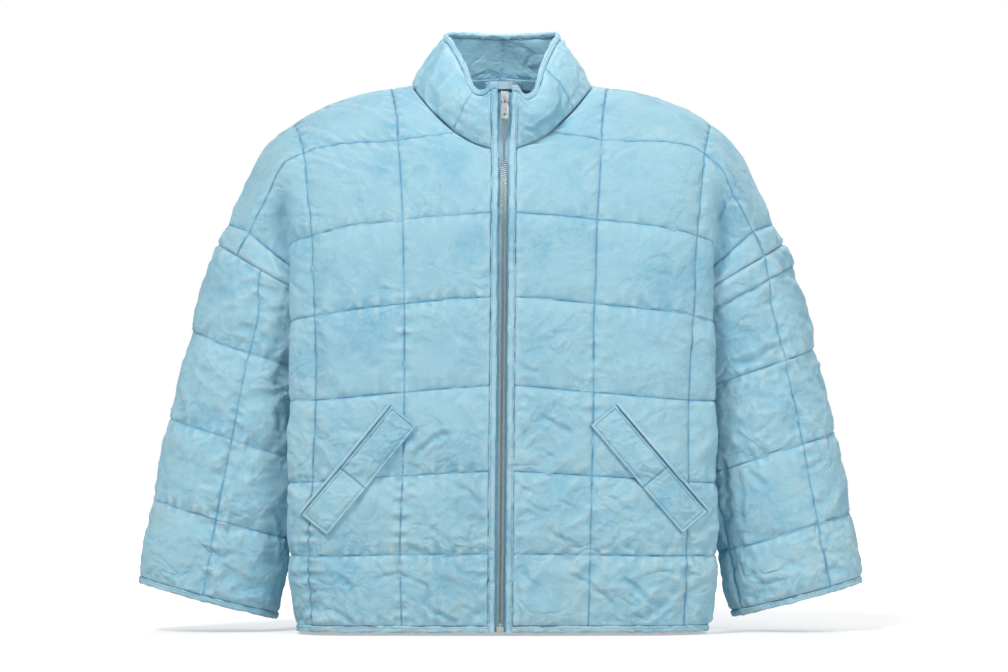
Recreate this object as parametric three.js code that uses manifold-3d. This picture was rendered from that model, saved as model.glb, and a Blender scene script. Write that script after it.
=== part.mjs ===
// A quilted cotton jacket with a stand collar, dropped sleeves, two slanted welt pockets and an open-end
// metal zip, filled out as it is when worn, with nobody in it. Sizes are in millimetres.
// +Z is up, the front faces -Y, and +X is the wearer's left. The origin lies between the two points where
// the shoulder seams meet the collar. Every cloth piece is a wall: smooth inside, raised between the quilting
// stitches outside.
import * as THREE from 'three';
import { mergeVertices } from 'three/addons/utils/BufferGeometryUtils.js';
import Module from 'manifold-3d';

// Driving dimensions
const WALL = 3; // two cloths and flattened padding at a stitch line
const PUFF = 4.2; // how far the padding rises between stitch lines
const SEAM_GAP = 0.4; // between neighbouring pieces
const BINDING_WIDTH = 6.8;
const BINDING_THICK = 4.8;
const PLACKET_EDGE = 14; // from the zip's centre line to the cut edge of a front
const ZIP_LEAN = { hemX: -2.9, topX: 2.3 }; // the zip's centre line drifts as it rises
const NECK = { side: 104.2, front: -92, back: 72, sideZ: 2, frontDrop: 75, backRise: 16 };
const DEGREE = Math.PI / 180;

const vector = (x, y, z) => new THREE.Vector3(x, y, z);
const table = (names, rows) => rows.map((row) => Object.fromEntries(names.map((name, i) => [name, row[i]])));

// A smooth curve through values given at rising knots.
function smooth(knots, values, t) {
  const last = knots.length - 1;
  const rise = (k) => (values[k + 1] - values[k]) / (knots[k + 1] - knots[k]);
  const slope = (k) => {
    if (k === 0) return rise(0);
    if (k === last) return rise(last - 1);
    const before = knots[k] - knots[k - 1];
    const after = knots[k + 1] - knots[k];
    return (rise(k - 1) * after + rise(k) * before) / (before + after);
  };
  let i = 0;
  while (i < last - 1 && t > knots[i + 1]) i++;
  const span = knots[i + 1] - knots[i];
  const s = (t - knots[i]) / span;
  const keep = (1 + 2 * s) * (1 - s) * (1 - s);
  const curl = s * (1 - s) * span;
  return values[i] * keep + values[i + 1] * (1 - keep) + curl * ((1 - s) * slope(i) - s * slope(i + 1));
}

// The named columns of a table's rows, read as one smooth point at a knot.
function pointAt(rows, at, x, y, z) {
  const knots = rows.map((row) => row.at);
  const read = (column) => smooth(knots, rows.map((row) => row[column]), at);
  return vector(read(x), read(y), read(z));
}

// Points on a smooth curve through the given points, with a count of steps for each span.
function curveThrough(points, steps) {
  const knots = [0];
  points.forEach((point, i) => i && knots.push(knots[i - 1] + point.distanceTo(points[i - 1])));
  const read = (axis, t) => smooth(knots, points.map((point) => point[axis]), t);
  const result = [];
  steps.forEach((count, span) => {
    for (let j = span ? 1 : 0; j <= count; j++) {
      const t = knots[span] + ((knots[span + 1] - knots[span]) * j) / count;
      result.push(vector(read('x', t), read('y', t), read('z', t)));
    }
  });
  return result;
}

// Steps from one number to another, for each span of a list of knots.
function steppedKnots(knots, steps) {
  const result = [knots[0]];
  steps.forEach((count, span) => {
    for (let j = 1; j <= count; j++) result.push(knots[span] + ((knots[span + 1] - knots[span]) * j) / count);
  });
  return result;
}

const linesOf = (steps) => steps.reduce((lines, count) => [...lines, lines[lines.length - 1] + count], [0]);

// How far the padding stands out, from 0 on a stitch line to 1 in the middle of its square.
function dome(index, lines) {
  const i = lines.findIndex((line, k) => index >= line && index <= lines[k + 1]);
  const s = (index - lines[i]) / (lines[i + 1] - lines[i]);
  return 1 - Math.abs(2 * s - 1) ** 3;
}

// Body levels, from the hem to the shoulder seam. "at" is the height up the pattern. The columns hold the
// front edge, the first and second upright stitch lines on the wearer's right and left, the fold where the
// front turns to the side, the hollow behind it, and the third upright stitch line.
const FRONT_LEVELS = table(
  ['name', 'at', 'edgeY', 'edgeZ', 'oneRight', 'oneLeft', 'oneY', 'oneZ', 'twoRight', 'twoLeft', 'twoY',
    'twoZ', 'foldX', 'foldY', 'foldZ', 'dipX', 'dipY', 'dipZ', 'threeX', 'threeY', 'threeZ'],
  [
    ['hem', 0, -122, -617.4, 115, 98, -119, -617.5, 218, 208, -105, -617.5, 233, -88, -617.5, 236, -52,
      -618, 236.5, -20, -618],
    ['q6', 82, -130, -534.5, 116.9, 100, -127, -535.6, 221.5, 210.6, -111, -537.3, 241.2, -90, -537.2,
      238.6, -56, -537.6, 237, -20, -539.1],
    ['q5', 177, -134, -440.3, 113.8, 102, -131, -445.4, 217.4, 212.4, -114, -452.8, 243.1, -92, -454.4,
      235.4, -60, -455.3, 228.9, -20, -455.4],
    ['q4', 277, -136, -342.4, 111.8, 103.9, -132, -350.3, 213.4, 213.4, -114, -359.5, 243.1, -92, -360.7,
      224, -60, -362.1, 209.5, -20, -361.6],
    ['q3', 380, -134, -241.5, 111.9, 104.9, -130, -249.4, 214.5, 218.5, -111, -263.2, 242.2, -90, -269.1,
      214, -58, -272, 194, -24, -271],
    ['underarm', 396, -133.5, -227, 112, 106, -129, -235, 215, 219.5, -110, -249, 242, -89.5, -256,
      214.5, -58, -267, 195, -23, -266],
    ['armpit', 436, -131, -185, 113, 107, -126, -193, 216.5, 221, -107, -210, 241, -88, -218, 225, -61,
      -240, 210, -46, -248],
    ['q2', 477, -126, -145.3, 114, 108.1, -121, -153.1, 217.8, 222.8, -102, -171.6, 240.4, -86, -179.3,
      237.4, -60, -199.9, 232.5, -58, -215.9],
    ['mid', 520, -108, -105.2, 116.3, 111.3, -108, -108.1, 222.1, 228.1, -94, -121.7, 240.4, -84, -130.4,
      246.3, -62, -153.8, 258.3, -62, -192.9],
    ['q1', 563, -84, -66.5, 119.7, 113.7, -84, -60.5, 227.8, 232.8, -76, -76.2, 245.8, -74, -86.1, 266,
      -70, -123, 288.4, -62, -166.8],
    ['yoke', 594, -50, -29.1, 124.5, 117.4, -48, -21, 234.1, 238.1, -42, -53.9, 256.2, -42, -76, 279.2,
      -44, -119.3, 300.3, -44, -161.5],
    ['shoulder', 620, 0, 2.3, 130, 122, 0, 1.6, 240, 242, 0, -39.5, 267, 0, -61.5, 297, -6, -116, 313.5,
      -22, -157],
  ],
);
const BACK_LEVELS = table(
  ['name', 'at', 'edgeY', 'edgeZ', 'oneX', 'oneY', 'oneZ', 'twoX', 'twoY', 'twoZ',
    'foldX', 'foldY', 'foldZ', 'dipX', 'dipY', 'dipZ', 'threeX', 'threeY', 'threeZ'],
  [
    ['hem', 0, 116, -620, 111, 114, -620, 215, 102, -619.5, 232.5, 84, -619, 236.5, 52, -619, 237, 28,
      -619],
    ['q6', 82, 122, -539, 111, 120, -539, 217, 106, -539, 238, 86, -539, 240, 54, -539, 238, 30, -539],
    ['q5', 177, 126, -447, 111, 123, -449, 217, 109, -453, 238, 88, -455, 234, 58, -456, 228, 31, -456],
    ['q4', 277, 127, -349, 111, 124, -352, 217, 110, -359, 235, 90, -361, 221, 58, -362, 209, 31, -362],
    ['q3', 380, 125, -251, 111, 122, -255, 216, 110, -264, 231, 92, -268, 212, 64, -271, 194, 32, -271],
    ['underarm', 396, 124.5, -235, 112, 121, -239, 217, 109, -249, 233, 92, -254, 213, 66, -266, 195, 31,
      -266],
    ['armpit', 436, 122.5, -195, 113, 119, -199, 219, 106, -211, 238, 90, -218, 226, 71, -240, 210, 56,
      -248],
    ['q2', 477, 119, -154, 114, 116, -158, 222, 101, -170, 241, 86, -178, 237, 72, -203, 233, 69, -221],
    ['mid', 520, 112, -108, 117, 109, -111, 227, 92, -124, 245, 80, -135, 253, 72, -158, 265, 70, -192],
    ['q1', 563, 102, -61, 121, 97, -63, 233, 78, -77, 251, 71, -87, 273, 65, -124, 294, 60, -164],
    ['yoke', 594, 60, 4, 125, 54, -11, 239, 44, -48, 265, 40, -72, 289, 36, -117, 306, 30, -158],
  ],
);
const SIDE_SEAM = table(['at', 'x', 'y', 'z'], [
  [0, 236.3, 6, -618], [82, 236, 8, -539], [177, 225, 8, -456], [277, 207, 8, -362],
  [380, 198.2, 6, -269], [396, 197.6, 5, -255.6],
]);
const HALF_SPANS = [4, 4, 2, 2, 2, 1]; // steps between the control points of a level
const HALF_LINES = [0, 4, 8, 14, 15];

// The armhole is a leaning oval. Its angle is 0 at the top of the arm, 90 at the front and 180 under the arm.
const ARMHOLE = { x: 261.7, y: 5, z: -217.7, across: 74.5, depth: 78, outX: 0.86, outZ: 0.51 };

// Sleeve rings, each at a stitch line around the sleeve: the outer and inner ends, the depth and the middle.
const SLEEVE_COLUMNS = ['at', 'outX', 'outZ', 'inX', 'inZ', 'half', 'y'];
const SLEEVES = {
  right: {
    side: -1,
    steps: [4, 4, 4, 4],
    rings: table(SLEEVE_COLUMNS, [
      [0, 325.8, -179.7, 197.6, -255.6, 78, 5], [104, 361, -282, 213.6, -330.5, 70, 3],
      [207, 386, -383.1, 229.6, -430.6, 63, -2],
      [302, 405.5, -475.9, 245.5, -521.4, 57, -8], [396, 421, -565, 260.5, -607, 52, -12],
    ]),
    stitches: [[0, 180], [7, 87], [14, -3], [20, -93], [26, -180]],
  },
  left: {
    side: 1,
    steps: [2, 4, 4, 4, 3],
    rings: table(SLEEVE_COLUMNS, [
      [0, 325.8, -179.7, 197.6, -255.6, 78, 5], [28, 336, -207, 201.5, -275.9, 76, 5],
      [125, 361, -302.2, 218.6, -350.8, 68, 2],
      [222, 384.2, -398.2, 233.5, -446.7, 61, -4], [317, 401.5, -492.1, 250.5, -536.5, 56, -9],
      [393, 416, -565, 265.5, -604.6, 52, -12],
    ]),
    stitches: [[0, 180], [3, 148], [9, 60], [15, -28], [21, -116], [26, -180]],
  },
};
const SLEEVE_MORPH = 60; // from the armhole's points to the sleeve's own, along the sleeve
const SLEEVE_PRESSED = 4; // columns each side of the underarm seam that the body presses flat

function armhole(angle, side) {
  const across = ARMHOLE.across * Math.cos(angle * DEGREE);
  const depth = ARMHOLE.depth * Math.sin(angle * DEGREE);
  const x = side * (ARMHOLE.x + across * ARMHOLE.outX);
  return vector(x, ARMHOLE.y - depth, ARMHOLE.z + across * ARMHOLE.outZ);
}

// The neck seam: 0 is the centre front, 90 the side and 180 the centre back.
function neckSeam(angle, side) {
  const forward = Math.cos(angle * DEGREE);
  const y = forward > 0 ? NECK.front * forward : -NECK.back * forward;
  const z = NECK.sideZ + (forward > 0 ? -NECK.frontDrop : NECK.backRise) * forward * forward;
  return vector(side * NECK.side * Math.sin(angle * DEGREE), y, z);
}

const zipX = (z) => THREE.MathUtils.mapLinear(z, -620, 0, ZIP_LEAN.hemX, ZIP_LEAN.topX);

// The jacket's right shoulder lies a little further out than the left.
const RIGHT_SHOULDER = { out: 4.6, x: [200, 290], z: [-290, -225] };

function settled(point) {
  const { out, x, z } = RIGHT_SHOULDER;
  const share = THREE.MathUtils.smoothstep(-point.x, ...x) * THREE.MathUtils.smoothstep(point.z, ...z);
  return point.clone().add(vector(-out * share, 0, 0));
}

// A cloth piece: its quads lie on the stitch lines' surface and are merged by place.
class Cloth {
  constructor(name) {
    this.name = name;
    this.points = [];
    this.puffs = [];
    this.quads = [];
    this.places = new Map();
  }

  static key(p) {
    return [p.x, p.y, p.z].map((v) => Math.round(v * 50)).join();
  }

  vertex(point, puff) {
    const key = Cloth.key(point);
    if (!this.places.has(key)) {
      this.places.set(key, this.points.length);
      this.points.push(settled(point));
      this.puffs.push(puff);
    }
    return this.places.get(key);
  }

  // Rows of points; "outward" is 1 where row x column turns to the outside, and -1 where it turns inside.
  addGrid(rows, puffOf, outward) {
    const ids = rows.map((row, j) => row.map((point, i) => this.vertex(point, puffOf(i, j, point))));
    for (let j = 0; j + 1 < rows.length; j++) {
      for (let i = 0; i + 1 < rows[j].length; i++) {
        const quad = [ids[j][i], ids[j][i + 1], ids[j + 1][i + 1], ids[j + 1][i]];
        this.quads.push(outward > 0 ? quad : quad.reverse());
      }
    }
    return ids;
  }

  // Normals, and at each border corner the way into the piece.
  measure() {
    this.normals = this.points.map(() => vector(0, 0, 0));
    const uses = new Map();
    for (const quad of this.quads) {
      const [a, b, c, d] = quad.map((id) => this.points[id]);
      const normal = c.clone().sub(a).cross(d.clone().sub(b));
      quad.forEach((id, k) => {
        this.normals[id].add(normal);
        const next = quad[(k + 1) % 4];
        uses.set(`${id}_${next}`, [id, next]);
      });
    }
    this.normals.forEach((normal) => normal.normalize());
    this.border = [...uses.values()].filter(([a, b]) => !uses.has(`${b}_${a}`));
    this.ways = new Map();
    for (const [a, b] of this.border) {
      const along = this.points[b].clone().sub(this.points[a]);
      for (const id of [a, b]) {
        const way = this.normals[id].clone().cross(along).normalize();
        this.ways.set(id, [...(this.ways.get(id) || []), way]);
      }
    }
    this.into = new Map([...this.ways].map(([id, [one, two]]) => [
      id, one.clone().add(two).divideScalar(1 + Math.max(one.dot(two), -0.2)),
    ]));
  }

  enrol(seams) {
    const note = (point, normal, into) => {
      const key = Cloth.key(point);
      seams.set(key, [...(seams.get(key) || []), { piece: this, normal, into }]);
    };
    for (const [id, into] of this.into) note(this.points[id], this.normals[id], into);
    for (const [a, b] of this.border) {
      const middle = this.points[a].clone().lerp(this.points[b], 0.5);
      note(middle, this.normals[a].clone().add(this.normals[b]).normalize(), this.into.get(a));
    }
  }

  // Outer and inner corners. Where a neighbour closes over the edge, both edges are cut to one mitre.
  thicken(seams, wall = WALL) {
    const raised = (heightOf) => this.points.map((point, id) => (
      point.clone().addScaledVector(this.normals[id], heightOf(id))));
    this.outer = raised((id) => this.puffs[id]);
    this.inner = raised(() => -wall);
    for (const [id, into] of this.into) {
      const point = this.points[id];
      const inward = this.normals[id].clone().negate();
      const mitre = inward.clone();
      for (const other of seams.get(Cloth.key(point)) || []) {
        if (other.piece !== this && into.dot(other.normal) < 0.05) mitre.sub(other.normal);
      }
      mitre.normalize();
      const reach = wall / Math.max(mitre.dot(inward), 0.8);
      const edge = point.clone().addScaledVector(into, SEAM_GAP / 2);
      this.outer[id] = edge;
      this.inner[id] = edge.clone().addScaledVector(mitre, reach);
    }
  }

  triangles() {
    const result = [];
    const split = (points, [a, b, c, d], flip, shift) => {
      const short = points[a].distanceTo(points[c]) < points[b].distanceTo(points[d]);
      const pair = short ? [[a, b, c], [a, c, d]] : [[a, b, d], [b, c, d]];
      pair.forEach((three) => result.push((flip ? three.reverse() : three).map((id) => id + shift)));
    };
    const count = this.points.length;
    this.quads.forEach((quad) => split(this.outer, quad, false, 0));
    this.quads.forEach((quad) => split(this.inner, quad, true, count));
    for (const [a, b] of this.border) result.push([b, a, a + count], [b, a + count, b + count]);
    return result;
  }

  geometry() {
    return solidGeometry([...this.outer, ...this.inner], this.triangles());
  }
}

function solidGeometry(points, triangles) {
  const geometry = new THREE.BufferGeometry();
  const places = points.flatMap((p) => [p.x, p.y, p.z]);
  geometry.setAttribute('position', new THREE.Float32BufferAttribute(places, 3));
  geometry.setIndex(triangles.flat());
  geometry.computeVertexNormals();
  return geometry;
}

// Fronts
const FRONT_BANDS = table(['name', 'rows'], [
  ['q6', 4], ['q5', 4], ['q4', 4], ['q3', 4], ['underarm', 1], ['q2', 4], ['q1', 5], ['shoulder', 3],
]);
const FRONT_ROW_LINES = [0, 4, 8, 12, 16, 21, 26, 29];
const UNDERARM_ROW = 17;
const bodyKnots = (names) => names.map((name) => FRONT_LEVELS.find((level) => level.name === name).at);
const bandRows = (bands) => steppedKnots(
  bodyKnots(['hem', ...bands.map((band) => band.name)]), bands.map((band) => band.rows),
);
const frontRows = bandRows(FRONT_BANDS);
const frontAngles = steppedKnots([180, 121, 51, 30], [4, 5, 3]);
const NECK_BASE_ROW = 24;
const LEAN_START_ROW = 21; // at the second stitch line the edge starts to lean to the neck
const EDGE_BOW = 16;
const NECK_BASE_Z = -72;

// The neck seam's angles on a front, from the corner beside the zip to the shoulder.
function frontNeckAngles(side) {
  const corner = Math.asin((PLACKET_EDGE + side * zipX(NECK_BASE_Z)) / NECK.side) / DEGREE;
  return steppedKnots([corner, 32, 90], [2, 3]);
}

function shoulderRow(side) {
  const end = FRONT_LEVELS[FRONT_LEVELS.length - 1];
  const [one, two] = side > 0 ? [end.oneLeft, end.twoLeft] : [end.oneRight, end.twoRight];
  const points = [
    neckSeam(90, side), vector(side * one, end.oneY, end.oneZ), vector(side * two, end.twoY, end.twoZ),
    vector(side * end.foldX, end.foldY, end.foldZ), vector(side * end.dipX, end.dipY, end.dipZ),
    vector(side * end.threeX, end.threeY, end.threeZ), armhole(30, side),
  ];
  return curveThrough(points, HALF_SPANS);
}

function sideEnd(row, angles, sign, at, side) {
  if (row >= UNDERARM_ROW) return armhole(sign * angles[row - UNDERARM_ROW], side);
  const seam = pointAt(SIDE_SEAM, at, 'x', 'y', 'z');
  return vector(side * seam.x, seam.y, seam.z);
}

// The front edge rises straight beside the zip to the neck's corner.
function frontEdge(at, side) {
  const edge = pointAt(FRONT_LEVELS, at, 'edgeY', 'edgeY', 'edgeZ');
  return vector(zipX(edge.z) + side * PLACKET_EDGE, edge.y, edge.z);
}

function frontEdgeAt(row, side) {
  const angles = frontNeckAngles(side);
  if (row >= NECK_BASE_ROW) return neckSeam(angles[row - NECK_BASE_ROW], side);
  if (row <= LEAN_START_ROW) return frontEdge(frontRows[row], side);
  const start = frontEdge(frontRows[LEAN_START_ROW], side);
  const corner = neckSeam(angles[0], side);
  const s = (row - LEAN_START_ROW) / (NECK_BASE_ROW - LEAN_START_ROW);
  return start.lerp(corner, s).add(vector(0, -EDGE_BOW * s * (1 - s), 0));
}

function frontGrid(side) {
  const x = side > 0 ? ['oneLeft', 'twoLeft'] : ['oneRight', 'twoRight'];
  return frontRows.map((at, row) => {
    if (row === frontRows.length - 1) return shoulderRow(side);
    const read = (column, depth, height) => {
      const point = pointAt(FRONT_LEVELS, at, column, depth, height);
      return vector(side * point.x, point.y, point.z);
    };
    return curveThrough([
      frontEdgeAt(row, side), read(x[0], 'oneY', 'oneZ'), read(x[1], 'twoY', 'twoZ'),
      read('foldX', 'foldY', 'foldZ'), read('dipX', 'dipY', 'dipZ'), read('threeX', 'threeY', 'threeZ'),
      sideEnd(row, frontAngles, 1, at, side),
    ], HALF_SPANS);
  });
}

const quiltPuff = (i, j, rowLines) => PUFF * dome(i, HALF_LINES) * dome(j, rowLines);

// The padding of the side, below the armhole, is pressed flat between the body and the arm.
const PRESSED = { fromColumn: 9, rows: [11, 21], left: 0.25 };
const underArm = (i, j) => {
  const there = i >= PRESSED.fromColumn && j > PRESSED.rows[0] && j < PRESSED.rows[1];
  return there ? PRESSED.left : 1;
};

function makeFront(name, side) {
  const cloth = new Cloth(name);
  cloth.addGrid(frontGrid(side), (i, j) => quiltPuff(i, j, FRONT_ROW_LINES) * underArm(i, j), side);
  return cloth;
}

// Back: two halves joined down the centre, open above at the neck.
const BACK_BANDS = table(['name', 'rows'], [
  ['q6', 4], ['q5', 4], ['q4', 4], ['q3', 4], ['underarm', 1], ['q2', 3], ['q1', 4], ['shoulder', 7],
]);
const BACK_ROW_LINES = [0, 4, 8, 12, 16, 20, 24, 31];
const backRows = bandRows(BACK_BANDS);
const backAngles = steppedKnots([180, 121, 45, -30], [3, 4, 7]);
const BACK_NECK_ROW = 27;
const BACK_NECK_BOW = 8;
const backNeckAngles = steppedKnots([180, 90], [4]);

function backCentre(row, at) {
  const line = BACK_ROW_LINES[6];
  if (row <= line) {
    const point = pointAt(BACK_LEVELS, at, 'edgeY', 'edgeY', 'edgeZ');
    return vector(0, point.y, point.z);
  }
  const start = BACK_LEVELS.find((level) => level.name === 'q1');
  const s = (row - line) / (BACK_NECK_ROW - line);
  const bulge = BACK_NECK_BOW * s * (1 - s);
  return vector(0, start.edgeY, start.edgeZ).lerp(neckSeam(180, 1), s).add(vector(0, bulge, bulge));
}

function backHalf(side) {
  const end = FRONT_LEVELS[FRONT_LEVELS.length - 1];
  const top = { at: end.at, oneX: (end.oneLeft + end.oneRight) / 2, twoX: (end.twoLeft + end.twoRight) / 2 };
  const levels = [...BACK_LEVELS, { ...end, ...top }];
  return backRows.map((at, row) => {
    if (row === backRows.length - 1) return shoulderRow(side);
    const read = (column) => {
      const point = pointAt(levels, at, `${column}X`, `${column}Y`, `${column}Z`);
      return vector(side * point.x, point.y, point.z);
    };
    const neck = row > BACK_NECK_ROW;
    const start = neck ? neckSeam(backNeckAngles[row - BACK_NECK_ROW], side) : backCentre(row, at);
    const across = ['one', 'two', 'fold', 'dip', 'three'].map(read);
    return curveThrough([start, ...across, sideEnd(row, backAngles, -1, at, side)], HALF_SPANS);
  });
}

function makeBack() {
  const cloth = new Cloth('back');
  const puff = (i, j) => quiltPuff(i, j, BACK_ROW_LINES) * underArm(i, j);
  cloth.addGrid(backHalf(1), puff, -1);
  cloth.addGrid(backHalf(-1), puff, 1);
  return cloth;
}

// Sleeves: rings that start on the armhole's own points and move to the sleeve's stitch lines.
const armholeAngles = [...frontAngles, ...backAngles.slice(0, -1).reverse().map((angle) => -angle)];

function sleeveRing(sleeve, at, index) {
  const own = smoothAngles(sleeve.stitches, index);
  const blend = THREE.MathUtils.smoothstep(at, 0, SLEEVE_MORPH);
  const angle = THREE.MathUtils.lerp(armholeAngles[index], own, blend) * DEGREE;
  const knots = sleeve.rings.map((ring) => ring.at);
  const read = (column) => smooth(knots, sleeve.rings.map((ring) => ring[column]), at);
  const toOut = (1 + Math.cos(angle)) / 2;
  const x = THREE.MathUtils.lerp(read('inX'), read('outX'), toOut);
  const z = THREE.MathUtils.lerp(read('inZ'), read('outZ'), toOut);
  return vector(sleeve.side * x, read('y') - read('half') * Math.sin(angle), z);
}

function smoothAngles(stitches, index) {
  const k = Math.max(1, stitches.findIndex(([at]) => at >= index));
  const [fromAt, from] = stitches[k - 1];
  const [toAt, to] = stitches[k];
  return THREE.MathUtils.mapLinear(index, fromAt, toAt, from, to);
}

function sleeveGrid(sleeve) {
  const rows = steppedKnots(sleeve.rings.map((ring) => ring.at), sleeve.steps);
  return rows.map((at, row) => armholeAngles.map((angle, index) => (
    row === 0 ? armhole(angle, sleeve.side) : sleeveRing(sleeve, at, index))));
}

function makeSleeve(name, sleeve) {
  const cloth = new Cloth(name);
  const grid = sleeveGrid(sleeve);
  const rowLines = linesOf(sleeve.steps);
  const lines = sleeve.stitches.map(([at]) => at);
  const nearBody = (i, j) => {
    const fromSeam = Math.min(i, armholeAngles.length - 1 - i);
    return j < rowLines[2] && fromSeam < SLEEVE_PRESSED ? PRESSED.left : 1;
  };
  cloth.addGrid(grid, (i, j) => PUFF * dome(i, lines) * dome(j, rowLines) * nearBody(i, j), -sleeve.side);
  return cloth;
}

// Collar stations, from the zip round one side to the centre back: where the top edge lies, and how far the
// middle of the stand bulges out.
const COLLAR_COLUMNS = ['at', 'x', 'y', 'z', 'bulge'];
const COLLAR = {
  right: table(COLLAR_COLUMNS, [
    [6, -12.5, -92, -3, 2], [20, -23.9, -90, -10.5, 4], [32, -34.9, -83, -6.2, 6],
    [51, -48.1, -58, 24.6, 5], [70, -62, -26, 49.5, 3],
    [90, -69, 6, 59, 2], [135, -50.9, 40, 62.8, 2], [180, 0, 50, 62.3, 3],
  ]),
  left: table(COLLAR_COLUMNS, [
    [6, 15.8, -92, -4, 2], [20, 26.9, -93, -15, 8], [32, 37.9, -86, -10, 12], [51, 49.1, -62, 21.6, 8],
    [70, 61.4, -28, 48.6, 3],
    [90, 67.4, 6, 59, 0.5], [135, 50.9, 40, 62.8, 1], [180, 0, 50, 62.3, 3],
  ]),
};
const COLLAR_RISE_STEPS = 5;
const COLLAR_PUFF = 0.6; // the collar's padding is thinner
const COLLAR_LINES = { right: [0, 4, 9, 14, 18], left: [0, 6, 11, 18] };

function collarGrid(side) {
  const stations = side > 0 ? COLLAR.left : COLLAR.right;
  const nodes = [...frontNeckAngles(side), ...backNeckAngles.slice(0, -1).reverse()];
  const angles = steppedKnots(nodes, nodes.slice(1).map(() => 2));
  const feet = nodes.map((angle) => neckSeam(angle, side));
  return angles.map((angle, k) => {
    const foot = feet[Math.floor(k / 2)].clone();
    if (k % 2) foot.lerp(feet[(k + 1) / 2], 0.5);
    const top = pointAt(stations, angle, 'x', 'y', 'z');
    const bulge = smooth(stations.map((one) => one.at), stations.map((one) => one.bulge), angle);
    const rise = top.clone().sub(foot);
    const around = neckSeam(angle + 5, side).sub(neckSeam(angle - 5, side));
    const out = around.cross(rise).normalize().multiplyScalar(side);
    return Array.from({ length: COLLAR_RISE_STEPS + 1 }, (unused, j) => {
      const s = j / COLLAR_RISE_STEPS;
      return foot.clone().addScaledVector(rise, s).addScaledVector(out, bulge * 4 * s * (1 - s));
    });
  });
}

function makeCollar() {
  const cloth = new Cloth('collar');
  const turned = (side) => {
    const rows = collarGrid(side);
    return rows[0].map((unused, j) => rows.map((row) => row[j]));
  };
  for (const [name, side] of [['right', -1], ['left', 1]]) {
    const lines = COLLAR_LINES[name];
    const puff = (i, j) => PUFF * COLLAR_PUFF * dome(i, lines) * dome(j, [0, COLLAR_RISE_STEPS]);
    cloth.addGrid(turned(side), puff, side);
  }
  return cloth;
}

const fronts = { right: makeFront('front_right', -1), left: makeFront('front_left', 1) };
const back = makeBack();
const sleeves = {
  right: makeSleeve('sleeve_right', SLEEVES.right),
  left: makeSleeve('sleeve_left', SLEEVES.left),
};
const collar = makeCollar();
const cloths = [fronts.right, fronts.left, back, sleeves.right, sleeves.left, collar];
const seams = new Map();
cloths.forEach((cloth) => cloth.measure());
cloths.forEach((cloth) => cloth.enrol(seams));
cloths.forEach((cloth) => cloth.thicken(seams));

// Materials
const finish = (color, roughness, metalness = 0) => (
  new THREE.MeshStandardMaterial({ color, roughness, metalness }));
const quilted = finish(0xa5d4e6, 0.95);
const bound = finish(0xc0e2ec, 0.95);
const tape = finish(0x8fc0da, 0.9);
const teeth = finish(0x9a9c94, 0.45, 0.9);
const silver = finish(0xc9ccce, 0.3, 1);

const jacket = new THREE.Group();
jacket.name = 'quilted_jacket';

function add(name, geometry, material) {
  const mesh = new THREE.Mesh(geometry, material);
  mesh.name = name;
  jacket.add(mesh);
  return mesh;
}

// A strip swept along stations, each with a middle and two half axes; a closed strip joins its ends.
const ROUNDED = [[1, 0], [0.62, 1], [-0.62, 1], [-1, 0], [-0.62, -1], [0.62, -1]];
const FLAT = [[1, 1], [-1, 1], [-1, -1], [1, -1]];

function strip(stations, closed = false, section = ROUNDED) {
  const points = stations.flatMap(({ middle, wide, thick }) => section.map(([w, t]) => (
    middle.clone().addScaledVector(wide, w).addScaledVector(thick, t))));
  const around = section.length;
  const triangles = [];
  const turns = closed ? stations.length : stations.length - 1;
  for (let k = 0; k < turns; k++) {
    const next = (k + 1) % stations.length;
    for (let i = 0; i < around; i++) {
      const j = (i + 1) % around;
      const [a, b, c, d] = [k * around + i, k * around + j, next * around + j, next * around + i];
      triangles.push([a, b, c], [a, c, d]);
    }
  }
  if (!closed) {
    const last = (stations.length - 1) * around;
    for (let i = 1; i + 1 < around; i++) triangles.push([0, i + 1, i], [last, last + i, last + i + 1]);
  }
  if (signedVolume(points, triangles) < 0) triangles.forEach((three) => three.reverse());
  return solidGeometry(points, triangles);
}

function signedVolume(points, triangles) {
  return triangles.reduce((sum, [a, b, c]) => (
    sum + points[a].dot(points[b].clone().cross(points[c])) / 6), 0);
}

// A binding folded over a raw edge: it sits beyond the edge, level with the wall's middle.
function bindingStation(cloth, point, away) {
  const id = cloth.places.get(Cloth.key(point));
  const thick = cloth.inner[id].clone().sub(cloth.outer[id]).normalize();
  const wide = away.clone().addScaledVector(thick, -away.dot(thick)).normalize();
  const middle = cloth.outer[id].clone().lerp(cloth.inner[id], 0.5);
  middle.addScaledVector(wide, SEAM_GAP + BINDING_WIDTH / 2);
  wide.multiplyScalar(BINDING_WIDTH / 2);
  return { middle, wide, thick: thick.multiplyScalar(BINDING_THICK / 2) };
}

const moved = (station, step) => ({ ...station, middle: station.middle.clone().add(step) });

function shortened(stations, by) {
  const pull = (one, towards) => moved(one, towards.middle.clone().sub(one.middle).setLength(by));
  const last = stations.length - 1;
  return stations.map((one, k) => {
    if (k === 0) return pull(one, stations[1]);
    return k === last ? pull(one, stations[last - 1]) : one;
  });
}

const DOWN = vector(0, 0, -1);
const BINDING_REACH = SEAM_GAP + BINDING_WIDTH;
const SIDES = [['right', -1], ['left', 1]];

// Hem and cuffs
function hemStations(cloth, row) {
  return shortened(row.map((point) => bindingStation(cloth, point, DOWN)), SEAM_GAP);
}

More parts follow.
